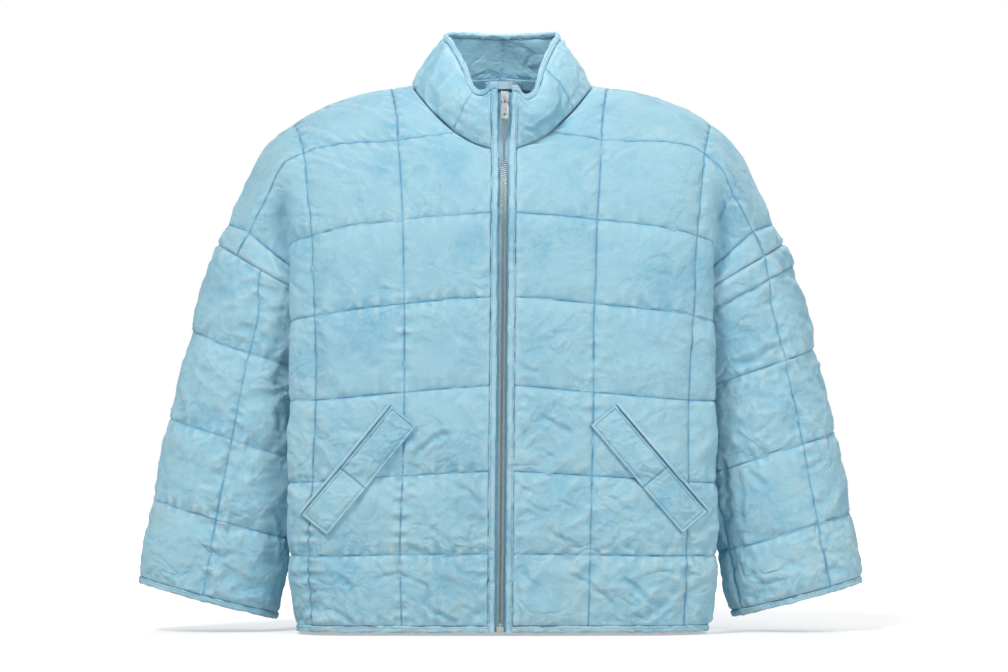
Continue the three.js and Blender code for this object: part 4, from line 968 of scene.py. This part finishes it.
CLOTH_BLUE = rgb(153, 202, 220)
CLOTH_PALE = rgb(180, 213, 222)
CLOTH_DEEP = rgb(130, 188, 212)
GROOVE_BLUE = rgb(72, 142, 184)
EDGE_PALE = rgb(192, 221, 229)
WASHED_GREY = rgb(178, 203, 204)
# painted shade for the inside of the pocket mouths
POCKET_MOUTH_SHADE = rgb(52, 88, 114)
# painted light: a paler blue for the inner faces, which lie in shade
INSIDE_PAINTED_LIGHT = rgb(176, 230, 250)


WASH_HEIGHTS = (-0.56, -0.30)


def cotton(name, main, pale, deep, with_marks=True):
    """Washed cotton: clouds of wash, fine flecks, a weave, rubbed ridges, and painted shade and light where the
    marks say so.
    """
    f = Finish(name)
    clouds = f.noise(0.075, 4, 0.6)
    flecks = f.noise(0.0032, 3, 0.65)
    height = f.add("ShaderNodeSeparateXYZ")
    f.join(f.place, height.inputs[0])
    low_down = f.span(height.outputs["Z"], *WASH_HEIGHTS, 1.0, 0.0)
    colour = f.ramp(clouds, [(0.36, deep), (0.50, main), (0.62, main), (0.78, pale)])
    colour = f.mix(f.span(flecks, 0.35, 0.75, 0.0, 0.40), colour, pale)
    stain = f.maths("MULTIPLY", f.span(f.noise(0.034, 4, 0.7), 0.46, 0.66), f.span(low_down, 0, 1, 0.1, 0.5))
    colour = f.mix(stain, colour, WASHED_GREY)
    crease = f.creases(0.034, 0.27)
    fine_crease = f.creases(0.014, 0.34)
    crushed = f.maths("MULTIPLY", f.span(f.noise(0.06, 2, 0.5), 0.38, 0.62, 0.25, 1.0),
        f.span(low_down, 0, 1, 0.62, 1.0))
    # painted shade: the bottoms of the crease valleys are mixed towards the deeper blue, more where the cloth is
    # crushed
    colour = f.mix(f.maths("MULTIPLY", f.span(crease, 0.35, 0.0, 0.0, 0.30), crushed), colour, deep)
    colour = f.mix(f.maths("MULTIPLY", f.span(fine_crease, 0.6, 1.0, 0.0, 0.22), crushed), colour, pale)
    if with_marks:
        ridge = f.mark("ridge")
        colour = f.mix(f.span(ridge, 0.05, 0.9, 0.0, 0.45), colour, EDGE_PALE)
        # painted shade: hollows and fold troughs, where the ridge mark is below 0, are mixed towards the deeper
        # blue
        colour = f.mix(f.span(ridge, -0.1, -1.3, 0.0, 0.5), colour, deep)
        colour = f.mix(f.span(f.mark("seam"), 0.25, 0.95, 0.0, 0.8), colour, GROOVE_BLUE)
        # painted shade: the pocket mouth, where the seam mark rises above 1, is mixed towards a dark blue
        colour = f.mix(f.span(f.mark("seam"), 1.05, 1.9, 0.0, 0.95), colour, POCKET_MOUTH_SHADE)
        # painted light: inner faces are mixed towards a paler blue to brighten them where they lie in shade
        colour = f.mix(f.span(f.mark("inside"), 0.2, 0.8, 0.0, 0.78), colour, INSIDE_PAINTED_LIGHT)
    f.join(colour, f.shader.inputs["Base Color"])
    f.shader.inputs["Roughness"].default_value = 0.92
    f.shader.inputs["Specular IOR Level"].default_value = 0.2
    f.shader.inputs["Sheen Weight"].default_value = 0.12
    f.shader.inputs["Sheen Roughness"].default_value = 0.6
    folds = f.bump(f.maths("MULTIPLY", crease, crushed), 0.0026, 0.75)
    small_folds = f.bump(f.maths("MULTIPLY", fine_crease, crushed), 0.0009, 0.6, folds)
    wrinkle = f.bump(f.noise(0.0075, 4, 0.62), 0.0010, 0.5, small_folds)
    weave = f.bump(f.noise(0.0013, 2, 0.5), 0.0005, 0.5, wrinkle)
    f.join(weave, f.shader.inputs["Normal"])
    return f.material


quilted_cotton = cotton("quilted_cotton", CLOTH_BLUE, CLOTH_PALE, CLOTH_DEEP)
binding_cotton = cotton("binding_cotton", rgb(166, 209, 225), EDGE_PALE, CLOTH_DEEP, with_marks=False)
print("materials: cloth and binding")

# %% [markdown]
# ## Cutting the pieces
# Each net now becomes one object that stands for its plain solid, and rides on the jacket's body. The flat
# area of each net, the sum of its squares, is printed.


def surface_area(points, faces):
    a, b, c, d = (points[faces[:, k]] for k in range(4))
    return 0.5 * np.linalg.norm(np.cross(c - a, d - b), axis=1).sum()


for node, (panel, height) in panels.items():
    piece = cloth_object(panel, height, collar_lining if node == "collar" else 0.0)
    piece.data.materials.append(quilted_cotton)
    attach(piece, "jacket")
    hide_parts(node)
    print(piece.name, "net area", round(surface_area(panel.points, panel.faces) / 1e6, 4), "m2")

# %% [markdown]
# ## Bindings
# The raw edges at the hem, the cuffs, the front and the top of the collar are wrapped in a narrow strip of the
# same cotton, folded over the edge and stitched through. The strip is swept along the edge as a rounded section.
# It wavers a little and its stitching pinches it every few millimetres.

# %% Bindings
SEAM_GAP = 0.4
BINDING = {"wide": 6.8, "thick": 4.8, "sides": 14, "step": 2.6, "under": 0.3}
REACH = SEAM_GAP + BINDING["wide"]
DOWN = np.array([0, 0, -1.0])


def edge_stations(edge, normals, away):
    """Middles, half widths and half thicknesses of a binding folded over an edge of the cloth."""
    wide = unit(away - normals * np.sum(away * normals, axis=1, keepdims=True))
    middle = edge - normals * WALL / 2 + wide * (SEAM_GAP + BINDING["wide"] / 2 - BINDING["under"] / 2)
    half = (BINDING["wide"] + BINDING["under"]) / 2
    return np.concatenate([middle, wide * half, -normals * BINDING["thick"] / 2], axis=1)


def refined(stations, step, closed=False):
    """The same strip with a station at each step along it."""
    if closed:
        stations = np.concatenate([stations, stations[:1]])
    lengths = np.concatenate([[0], np.cumsum(np.linalg.norm(np.diff(stations[:, :3], axis=0), axis=1))])
    count = max(int(lengths[-1] / step), 2)
    fine = smooth(lengths, stations, np.linspace(0, lengths[-1], count + 1))
    return fine[:-1] if closed else fine


def rounded_section(sides, square=3.2):
    turn = 2 * np.pi * (np.arange(sides) + 0.5) / sides
    c, s = np.cos(turn), np.sin(turn)
    return np.stack([np.sign(c) * np.abs(c) ** (2 / square), np.sign(s) * np.abs(s) ** (2 / square)], axis=1)


def swept(stations, section, closed=False, waver=0.0, seed=0):
    """Points and faces of a strip: each station carries the section; waver makes it uneven."""
    middle, wide, thick = stations[:, None, :3], stations[:, None, 3:6], stations[:, None, 6:]
    count, sides = len(stations), len(section)
    run = np.arange(count)[:, None] * BINDING["step"]
    around = np.arange(sides)[None, :] * 1.7
    swell = 1 + waver * field(run / 9 + seed, around, seed) * 0.22 + waver * 0.10 * field(run / 4.3,
        around, seed + 1)
    points = middle + (wide * section[None, :, :1] + thick * section[None, :, 1:]) * swell[..., None]
    drift = waver * 0.45 * field(run / 26 + seed, 0 * run + 0.5, seed + 2)
    points = (points + unit(thick) * drift[..., None]).reshape(-1, 3)
    ids = np.arange(count * sides).reshape(count, sides)
    ahead = np.roll(ids, -1, axis=0) if closed else ids[1:]
    here = ids if closed else ids[:-1]
    quads = np.stack([here, np.roll(here, -1, 1), np.roll(ahead, -1, 1), ahead], axis=-1).reshape(-1,
        4).tolist()
    if not closed:
        quads += [ids[0][::-1].tolist(), ids[-1].tolist()]
    return points, quads


def outward_faces(points, faces):
    """Turns all the faces over if they enclose a negative volume."""
    volume = 0.0
    for face in faces:
        a = points[face[0]]
        for k in range(1, len(face) - 1):
            volume += np.dot(a, np.cross(points[face[k]], points[face[k + 1]]))
    return [face[::-1] for face in faces] if volume < 0 else faces


def piece_from(name, points, faces, material, body, replaces=(), sharp=40):
    mesh = bpy.data.meshes.new(name)
    mesh.from_pydata((np.asarray(points) * MM).tolist(), [], faces)
    mesh.shade_smooth()
    mesh.set_sharp_from_angle(angle=math.radians(sharp))
    mesh.materials.append(material)
    piece = bpy.data.objects.new(name, mesh)
    bpy.context.scene.collection.objects.link(piece)
    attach(piece, body)
    if replaces:
        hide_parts(*replaces)
    return piece


def shortened(stations, by):
    for end, beside in ((0, 1), (-1, -2)):
        way = unit((stations[beside] - stations[end])[None, :3])[0]
        stations[end, :3] += way * by
    return stations


ROUND_EDGE = rounded_section(BINDING["sides"])
strips = {}


def binding(name, stations, closed=False, seed=0):
    fine = refined(stations, BINDING["step"], closed)
    strips[name] = fine
    points, faces = swept(fine, ROUND_EDGE, closed, 1.1, seed)
    return piece_from(f"{name}_cloth", points, outward_faces(points, faces), binding_cotton, "jacket",
                      (name,), sharp=60)


EVERY = 4
for name, side, seed in (("right", -1, 21), ("left", 1, 22)):
    net_points, net_normals = nets[f"front_{name}"], normals_of[f"front_{name}"]
    pick = np.unique(np.append(np.arange(0, net_points.shape[1], EVERY), net_points.shape[1] - 1))
    hem = edge_stations(net_points[0][pick], net_normals[0][pick], DOWN)
    binding(f"hem_binding_{name}", shortened(hem, SEAM_GAP), seed=seed)
    ring, before = nets[f"sleeve_{name}"][-1], nets[f"sleeve_{name}"][-2]
    cuff = edge_stations(ring[::EVERY], normals_of[f"sleeve_{name}"][-1][::EVERY], (ring - before)[::EVERY])
    binding(f"cuff_binding_{name}", cuff, closed=True, seed=seed + 2)
    rows = np.flatnonzero(front_rows < NECK_CORNER_ROW - 0.5)[::8]
    to_zip = np.array([-side, 0, 0.0])
    body = edge_stations(net_points[rows, 0], net_normals[rows, 0], to_zip)
    stand_points, stand_normals = nets[f"collar_{name}"][6:, -1], normals_of[f"collar_{name}"][6:, -1]
    stand = edge_stations(stand_points[::6], stand_normals[::6], to_zip)
    foot = body[:1].copy()
    foot[0, :3] += DOWN * REACH
    top = edge_stations(stand_points[-1:], stand_normals[-1:], to_zip)
    stand = stand[:-1] if len(stand_points) % 6 else stand
    binding(f"front_binding_{name}", np.concatenate([foot, body, stand, top]), seed=seed + 4)

back_hem = [np.concatenate([n["back_-1"][0][::-1][:-1], n["back_1"][0]]) for n in (nets, normals_of)]
pick = np.unique(np.append(np.arange(0, len(back_hem[0]), EVERY), len(back_hem[0]) - 1))
binding("hem_binding_back", shortened(edge_stations(back_hem[0][pick], back_hem[1][pick], DOWN), SEAM_GAP),
    seed=27)
rim = {}
for name in ("right", "left"):
    top, below = nets[f"collar_{name}"][-1][::-3], nets[f"collar_{name}"][-3][::-3]
    rim[name] = edge_stations(top, normals_of[f"collar_{name}"][-1][::-3], top - below)
ends = []
for name, way in (("right", 1), ("left", -1)):
    end = rim[name][:1].copy()
    end[0, 0] += way * REACH
    ends.append(end)
rim_stations = np.concatenate([ends[0], rim["right"], rim["left"][-2::-1], ends[1]])
binding("collar_binding", rim_stations, seed=28)
print("bindings:", len(strips), "strips")

# %% [markdown]
# ## Pockets
# Each slanted pocket has a quilted welt laid on the front, a thin lip along its mouth and a stitch line near
# each edge. The welt follows the front behind it, smoothed, because a welt bridges the small hollows under it.

# %% Pockets
POCKETS = {
    "right": {"side": -1, "x": -162.4, "z": -439.5, "down": (-0.63, -0.776), "mouth_shade": 1.35},
    "left": {"side": 1, "x": 166.2, "z": -437.8, "down": (0.645, -0.764), "mouth_shade": 2.0},
}
WELT = {"long": 80.5, "wide": 18.4, "thick": 2.6, "puff": 1.5, "clear": 0.9, "stitch": 1 / 7}
LIP = {"wide": 3.6, "thick": 3.0, "gap": 0.9, "clear": 1.2}
WELT_NET = (38, 150)


def on_front(name, x, z):
    """Points of a front's outer side straight behind places of the front view, and the ways out there."""
    panel, height = panels[f"front_{name}"]
    points = panel.points + panel.normals * height[:, None]
    near = np.abs(points[:, 0] - x.mean()) < 110
    near &= (np.abs(points[:, 2] - z.mean()) < 110) & (panel.normals[:, 1] < -0.2)
    points, normals = points[near], panel.normals[near]
    targets = np.stack([x.reshape(-1), z.reshape(-1)], axis=1)
    found = np.empty((len(targets), 6))
    for k in range(0, len(targets), 500):
        gap = ((targets[k:k + 500, None] - points[None, :, [0, 2]]) ** 2).sum(axis=2)
        share = np.exp(-gap / 60.0)
        share /= share.sum(axis=1, keepdims=True)
        found[k:k + 500, :3] = share @ points
        found[k:k + 500, 3:] = unit(share @ normals)
    middle, normal = found[:, :3], found[:, 3:]
    rise = (targets[:, 0] - middle[:, 0]) * normal[:, 0] + (targets[:, 1] - middle[:, 2]) * normal[:, 2]
    y = middle[:, 1] - rise / normal[:, 1]
    place = np.stack([targets[:, 0], y, targets[:, 1]], axis=1)
    return place.reshape(x.shape + (3,)), normal.reshape(x.shape + (3,))


def pocket_places(name, along, across):
    pocket = POCKETS[name]
    down_x, down_z = pocket["down"]
    x = pocket["x"] + along * down_x + across * pocket["side"] * abs(down_z)
    z = pocket["z"] + along * down_z + across * abs(down_x)
    return on_front(name, x, z)


for name, seed in (("right", 700), ("left", 750)):
    side = POCKETS[name]["side"]
    across = np.linspace(-WELT["wide"], WELT["wide"], WELT_NET[0])
    along = np.linspace(-WELT["long"], WELT["long"], WELT_NET[1])
    base, normal = pocket_places(name, *np.meshgrid(along, across))
    places = base + normal * (WELT["clear"] + WELT["thick"])
    s, t = np.meshgrid(along / WELT["long"], across / WELT["wide"])
    dome = bump_between(s, [-1, WELT["stitch"], 1]) * bump_between(t, [-1, 1])
    edge = np.minimum(WELT["long"] - np.abs(s) * WELT["long"], WELT["wide"] - np.abs(t) * WELT["wide"])
    line = np.exp(-(((edge - 3.4) / 0.8) ** 2))
    cross = np.exp(-(((s - WELT["stitch"]) * WELT["long"] / 1.3) ** 2))
    u, v = s * WELT["long"], t * WELT["wide"]
    wrinkle = 1.3 * crumple(u, v, 15, seed, 1.1) + 0.7 * crumple(u, v, 7, seed + 3, 0.4)
    heights = WELT["puff"] * dome * (1 - 0.5 * line) + wrinkle * smoothstep(edge, 0.5, 5) * 0.8
    heights += 0.8 * np.exp(-(((edge - 1.4) / 1.3) ** 2)) - 0.7 * line - 0.8 * cross
    panel = Panel(f"pocket_welt_{name}_cloth")
    mouth = np.exp(-(((WELT["wide"] - v) / 1.1) ** 2)) * smoothstep(WELT["long"] - np.abs(u), 2, 9)
    outline = np.exp(-((edge / 0.9) ** 2)) * 0.8
    # painted shade: the mouth band is scaled above 1 in the seam mark, so the finish paints the pocket mouth dark
    seam = np.maximum.reduce([line * 0.75, cross, outline, mouth * POCKETS[name]["mouth_shade"]])
    marks = {"height": heights, "seam": seam, "ridge": 0.5 * wrinkle + 0.9 * np.exp(-(((edge - 1.2) / 1.4) ** 2))}
    panel.add(places, side, marks, step=3)
    panel.close()
    height = panel.marks.pop("height")
    piece = cloth_object(panel, height, wall=WELT["thick"])
    piece.data.materials.append(quilted_cotton)
    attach(piece, "jacket")
    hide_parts(f"pocket_welt_{name}")
    lip_along = np.linspace(-WELT["long"], WELT["long"], 60)
    middle_across = WELT["wide"] + LIP["gap"] + LIP["wide"] / 2
    point, normal = pocket_places(name, lip_along, np.full(60, middle_across))
    beyond, _ = pocket_places(name, lip_along, np.full(60, middle_across + 1))
    wide = unit(beyond - point) * LIP["wide"] / 2
    middle = point + normal * (LIP["clear"] + LIP["thick"] / 2)
    stations = np.concatenate([middle, wide, normal * LIP["thick"] / 2], axis=1)
    points, faces = swept(stations, rounded_section(10, 2.6), False, 0.9, seed + 9)
    piece_from(f"pocket_lip_{name}_cloth", points, outward_faces(points, faces), binding_cotton, "jacket",
               (f"pocket_lip_{name}",), sharp=60)
print("pockets: welt", round(WELT["long"] * 2), "by", round(WELT["wide"] * 2), "mm")

# %% [markdown]
# ## Stitches
# The quilting thread shows as short stitches at the bottom of each groove, about three to the centimetre. Each
# is a tiny spindle of thread. They are placed on the nets' own stitch lines, so they lie on the cloth.

# %% Stitches
STITCH = {"pitch": 3.4, "long": 1.15, "wide": 0.42, "high": 0.32}


def spindles(centres, ways, normals):
    """A small six-pointed thread for each centre."""
    across = unit(np.cross(ways, normals))
    tips = [ways * STITCH["long"], across * STITCH["wide"], normals * STITCH["high"]]
    corners = np.stack([centres + sign * tip for tip in tips for sign in (1, -1)], axis=1)
    faces = [(0, 2, 4), (2, 1, 4), (1, 3, 4), (3, 0, 4), (2, 0, 5), (1, 2, 5), (3, 1, 5), (0, 3, 5)]
    starts = np.arange(len(centres))[:, None, None] * 6
    return corners.reshape(-1, 3), (starts + np.array(faces)[None]).reshape(-1, 3)


def stitches_along(path, normals):
    lengths = np.concatenate([[0], np.cumsum(np.linalg.norm(np.diff(path, axis=0), axis=1))])
    at = np.arange(STITCH["pitch"] / 2, lengths[-1], STITCH["pitch"])
    centre = np.stack([np.interp(at, lengths, path[:, k]) for k in range(3)], axis=1)
    normal = unit(np.stack([np.interp(at, lengths, normals[:, k]) for k in range(3)], axis=1))
    ahead = np.stack([np.interp(at + 0.5, lengths, path[:, k]) for k in range(3)], axis=1)
    behind = np.stack([np.interp(at - 0.5, lengths, path[:, k]) for k in range(3)], axis=1)
    return spindles(centre + normal * 0.12, unit(ahead - behind), normal)


def thread_piece(name, parts, material):
    start, points, faces = 0, [], []
    for p, f in parts:
        points.append(p)
        faces.append(f + start)
        start += len(p)
    points, faces = np.concatenate(points), np.concatenate(faces)
    return piece_from(name, points, faces.tolist(), material, "jacket")


thread = Finish("thread")
thread.shader.inputs["Roughness"].default_value = 0.6
thread.join(thread.ramp(thread.noise(0.004), [(0.3, rgb(58, 118, 158)), (0.7, rgb(92, 154, 190))]),
            thread.shader.inputs["Base Color"])
quilt_parts = []
for name, (lines, columns_at) in {
    "front_right": ([4, 8, 12, 16, 21, 26], [4, 8, 14]), "front_left": ([4, 8, 12, 16, 21, 26], [4, 8, 14]),
    "back_1": ([4, 8, 12, 16, 20, 24], [4, 8, 14]), "back_-1": ([4, 8, 12, 16, 20, 24], [4, 8, 14]),
    "sleeve_right": ([104, 207, 302], [7, 14, 20]), "sleeve_left": ([28, 125, 222, 317], [3, 9, 15, 21]),
}.items():
    surface, normals, wander, rows_at, cols_at = surfaces[name]
    row_step = np.linalg.norm(np.gradient(surface, axis=0), axis=-1)
    column_step = np.linalg.norm(np.gradient(surface, axis=1), axis=-1)
    for line in lines:
        r, c = int(np.argmin(np.abs(rows_at - line))), np.arange(surface.shape[1])
        shifted = np.clip(r + np.round(-wander[r] / row_step[r]).astype(int), 0, surface.shape[0] - 1)
        quilt_parts.append(stitches_along(surface[shifted, c], normals[shifted, c]))
    for line in columns_at:
        c, r = int(np.argmin(np.abs(cols_at - line))), np.arange(surface.shape[0])
        shifted = np.clip(c + np.round(-wander[:, c] / column_step[:, c]).astype(int), 0,
            surface.shape[1] - 1)
        quilt_parts.append(stitches_along(surface[r, shifted], normals[r, shifted]))
thread_piece("quilt_stitches", quilt_parts, thread.material)

edge_parts = []
for name, offsets in (("collar_binding", (-0.45, 0.35)), ("front_binding_right", (-0.5,)),
                      ("front_binding_left", (-0.5,)), ("hem_binding_right", (-0.5,)),
                      ("hem_binding_left", (-0.5,)), ("hem_binding_back", (-0.5,)),
                      ("cuff_binding_right", (-0.5,)), ("cuff_binding_left", (-0.5,))):
    stations = strips[name]
    for offset in offsets:
        path = stations[:, :3] + stations[:, 3:6] * offset - stations[:, 6:] * 1.0
        edge_parts.append(stitches_along(path, -unit(stations[:, 6:])))
thread_piece("binding_stitches", edge_parts, thread.material)
print("stitches:", sum(len(p) for p, _ in quilt_parts + edge_parts) // 6)

# %% [markdown]
# ## The zip
# The zip is an open-end metal one: two woven tapes, two rows of cast teeth that mesh, a box at the foot, and a
# slider with a hanging pull. A plain bar would read as a line, so every tooth is its own small rounded block.

# %% Zip
ZIP = {"pitch": 2.6, "tall": 1.15, "reach": 4.3, "overlap": 0.4, "thick": 2.3, "depth": 1.3}


def metal(name, colour, dull, roughness):
    f = Finish(name)
    grime = f.noise(0.0022, 4, 0.6)
    f.join(f.ramp(grime, [(0.35, dull), (0.65, colour)]), f.shader.inputs["Base Color"])
    f.shader.inputs["Metallic"].default_value = 0.8
    f.join(f.span(f.noise(0.0009), 0.3, 0.7, roughness - 0.06, roughness + 0.1),
        f.shader.inputs["Roughness"])
    f.join(f.bump(f.noise(0.0006), 0.00005, 0.4), f.shader.inputs["Normal"])
    return f.material


teeth_metal = metal("zip_teeth_metal", rgb(222, 226, 222), rgb(180, 186, 182), 0.4)
silver = metal("zip_slider_metal", rgb(236, 238, 240), rgb(206, 210, 214), 0.3)

count = min(len(strips["front_binding_right"]), len(strips["front_binding_left"]))
share = np.linspace(0, 1, count)
sides = []
for name in ("right", "left"):
    stations = strips[f"front_binding_{name}"]
    at = np.linspace(0, 1, len(stations))
    sides.append(np.stack([np.interp(share, at, stations[:, k]) for k in range(9)], axis=1))
zip_middle = (sides[0][:, :3] + sides[1][:, :3]) / 2
zip_in = (sides[0][:, 6:] + sides[1][:, 6:]) * np.array([0, 1, 1])
zip_in = unit(zip_in)
chain_top = zip_middle[-1, 2] - 2.2
lengths = np.concatenate([[0], np.cumsum(np.linalg.norm(np.diff(zip_middle, axis=0), axis=1))])


def zip_station(at):
    middle = np.stack([np.interp(at, lengths, zip_middle[:, k]) for k in range(3)], axis=-1)
    inward = unit(np.stack([np.interp(at, lengths, zip_in[:, k]) for k in range(3)], axis=-1))
    return middle, inward


TOOTH = np.array([(-1, -0.55), (-0.55, -1), (0.6, -1), (1, -0.6), (1, 0.6), (0.6, 1), (-0.55, 1),
    (-1, 0.55)])
box_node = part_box("zip_box")
box_top = box_node[1][2] / MM + 0.6
starts = np.arange(0, lengths[-1], ZIP["pitch"] / 2)
middle, inward = zip_station(starts)
keep = (middle[:, 2] > box_top) & (middle[:, 2] < chain_top)
middle, inward = middle[keep], inward[keep]
tooth_points, tooth_faces = [], []
across = np.array([1.0, 0, 0])
for k, (m, i) in enumerate(zip(middle, inward)):
    hand = 1 if k % 2 else -1
    up = unit(np.cross(i, across)[None])[0]
    centre = m + i * ZIP["depth"] + across * hand * (ZIP["reach"] / 2 - ZIP["overlap"])
    ring = TOOTH[:, :1] * across * ZIP["reach"] / 2 + TOOTH[:, 1:] * up * ZIP["tall"] / 2
    start = len(tooth_points) * 16
    tooth_points.append(np.concatenate([centre + ring * 0.82 - i * ZIP["thick"] / 2,
        centre + ring + i * 0.3]))
    top, low = list(range(start, start + 8)), list(range(start + 8, start + 16))
    tooth_faces += [top, low[::-1]]
    tooth_faces += [[top[(j + 1) % 8], top[j], low[j], low[(j + 1) % 8]] for j in range(8)]
tooth_points = np.concatenate(tooth_points)
piece_from("zip_teeth", tooth_points, outward_faces(tooth_points, tooth_faces), teeth_metal, "jacket",
           ("zip_chain",), sharp=25)
print("zip:", len(middle), "teeth")


def softened_copy(node, name, material, body, bevel):
    """A copy of a solid with its hard edges rounded off, to stand for the solid."""
    source = frame_object(node)
    net = bmesh.new()
    net.from_mesh(source.data)
    bmesh.ops.remove_doubles(net, verts=net.verts, dist=1e-6)
    bmesh.ops.dissolve_limit(net, angle_limit=math.radians(4), verts=net.verts, edges=net.edges)
    edges = [e for e in net.edges if len(e.link_faces) == 2 and e.calc_face_angle() > math.radians(30)]
    bmesh.ops.bevel(net, geom=edges, offset=bevel, segments=2, profile=0.6, affect="EDGES",
        clamp_overlap=True)
    mesh = bpy.data.meshes.new(name)
    net.to_mesh(mesh)
    net.free()
    mesh.shade_smooth()
    mesh.set_sharp_from_angle(angle=math.radians(35))
    mesh.materials.append(material)
    piece = bpy.data.objects.new(name, mesh)
    bpy.context.scene.collection.objects.link(piece)
    piece.matrix_world = source.matrix_world.copy()
    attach(piece, body)
    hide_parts(node)
    return piece


def frame_object(node):
    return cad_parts[node]


softened_copy("zip_slider", "zip_slider_cast", silver, "jacket", 0.00028)
softened_copy("zip_pull", "zip_pull_cast", silver, "zip_pull", 0.00024)
softened_copy("zip_box", "zip_box_cast", teeth_metal, "jacket", 0.0004)

# %% [markdown]
# ## Tapes and the loop
# The zip's tapes, the tape over the neck seam and the hanger loop are woven flat. Their solids have the right
# shape already, so they stay and get a woven finish: fine ribs across, with a slightly deeper blue.

# %% Tapes
def woven(name, colour, pale, rib=0.0011):
    f = Finish(name)
    ribs = f.add("ShaderNodeTexWave", wave_type="BANDS", bands_direction="DIAGONAL")
    ribs.inputs["Scale"].default_value = 0.31 / rib
    ribs.inputs["Distortion"].default_value = 1.2
    ribs.inputs["Detail"].default_value = 1.0
    f.join(f.place, ribs.inputs["Vector"])
    mixed = f.mix(f.span(f.noise(0.006), 0.3, 0.7, 0.1, 0.8), colour, pale)
    f.join(f.mix(f.span(ribs.outputs["Fac"], 0, 1, 0.0, 0.35), mixed, pale), f.shader.inputs["Base Color"])
    f.shader.inputs["Roughness"].default_value = 0.85
    f.join(f.bump(ribs.outputs["Fac"], 0.0003, 0.6), f.shader.inputs["Normal"])
    return f.material


tape_weave = woven("zip_tape_weave", rgb(120, 176, 204), rgb(158, 204, 222))
for node in ("zip_tape_right", "zip_tape_left", "neck_tape"):
    data = frame_object(node).data
    data.materials.clear()
    data.materials.append(tape_weave)
loop_weave = woven("hanger_loop_weave", rgb(176, 214, 228), rgb(205, 230, 238))
data = frame_object("hanger_loop").data
data.materials.clear()
data.materials.append(loop_weave)
print("tapes and loop finished")

# %% [markdown]
# ## Floor and light
# The photograph was taken in a white studio: broad soft light from the front and the upper left, an almost
# white floor and nothing behind. A wide pale floor catches the soft shadow under the hem. The camera sees it a
# little brighter than it lights the jacket, and more so far away, so that it ends in no line. One narrow light
# reaches into the collar, which would be too dark inside without it.

# %% Studio
FLOOR_Z = -0.6285
NECK_BEAM = 12  # degrees
PAPER = {"glow": (0.44, 0.85), "from": (0.95, 1.9)}
WORLD = {"light": 0.42, "seen": 1.0}


def studio_floor():
    """A wide floor. The camera sees it a little brighter than it lights the jacket, as overexposed paper."""
    mesh = bpy.data.meshes.new("studio_floor")
    corners = [(-4, -4), (4, -4), (4, 4), (-4, 4)]
    mesh.from_pydata([(x, y, FLOOR_Z) for x, y in corners], [], [(0, 1, 2, 3)])
    piece = bpy.data.objects.new("studio_floor", mesh)
    bpy.context.scene.collection.objects.link(piece)
    return piece


floor = studio_floor()
paper = Finish("studio_paper")
paper.shader.inputs["Base Color"].default_value = (0.66, 0.66, 0.66, 1)
paper.shader.inputs["Roughness"].default_value = 0.9
paper.shader.inputs["Emission Color"].default_value = (1, 1, 1, 1)
far = paper.add("ShaderNodeVectorMath", operation="LENGTH")
paper.join(paper.place, far.inputs[0])
glow = paper.span(far.outputs["Value"], *PAPER["from"], *PAPER["glow"])
paper.join(paper.maths("MULTIPLY", paper.add("ShaderNodeLightPath").outputs["Is Camera Ray"], glow),
           paper.shader.inputs["Emission Strength"])
floor.data.materials.append(paper.material)


def softbox(name, place, target, size, watts):
    data = bpy.data.lights.new(name, "AREA")
    data.shape = "RECTANGLE"
    data.size, data.size_y = size
    data.energy = watts
    light = bpy.data.objects.new(name, data)
    bpy.context.scene.collection.objects.link(light)
    light.location = place
    light.rotation_euler = (Vector(target) - Vector(place)).to_track_quat("-Z", "Y").to_euler()
    return data


softbox("key", (-1.7, -2.9, 4.3), (0, 0, -0.3), (1.3, 1.3), 176)
softbox("fill", (2.6, -3.6, 0.9), (0, 0, -0.3), (1.4, 1.4), 46)
softbox("back", (1.6, 4.2, 3.2), (0, 0, -0.3), (1.3, 1.3), 110)
neck_light = softbox("neck", (0, -1.1, 1.15), (0, 0.05, 0.035), (0.12, 0.12), 0.05)
neck_light.spread = math.radians(NECK_BEAM)
world = bpy.data.worlds.new("studio")
world.use_nodes = True
tree = world.node_tree
tree.nodes["Background"].inputs["Color"].default_value = (1, 1, 1, 1)
seen = tree.nodes.new("ShaderNodeLightPath")
level = tree.nodes.new("ShaderNodeMapRange")
level.inputs["To Min"].default_value = WORLD["light"]
level.inputs["To Max"].default_value = WORLD["seen"]
tree.links.new(seen.outputs["Is Camera Ray"], level.inputs["Value"])
tree.links.new(level.outputs["Result"], tree.nodes["Background"].inputs["Strength"])
bpy.context.scene.world = world
bpy.context.scene.view_settings.view_transform = "Standard"
print("studio: floor at", FLOOR_Z)
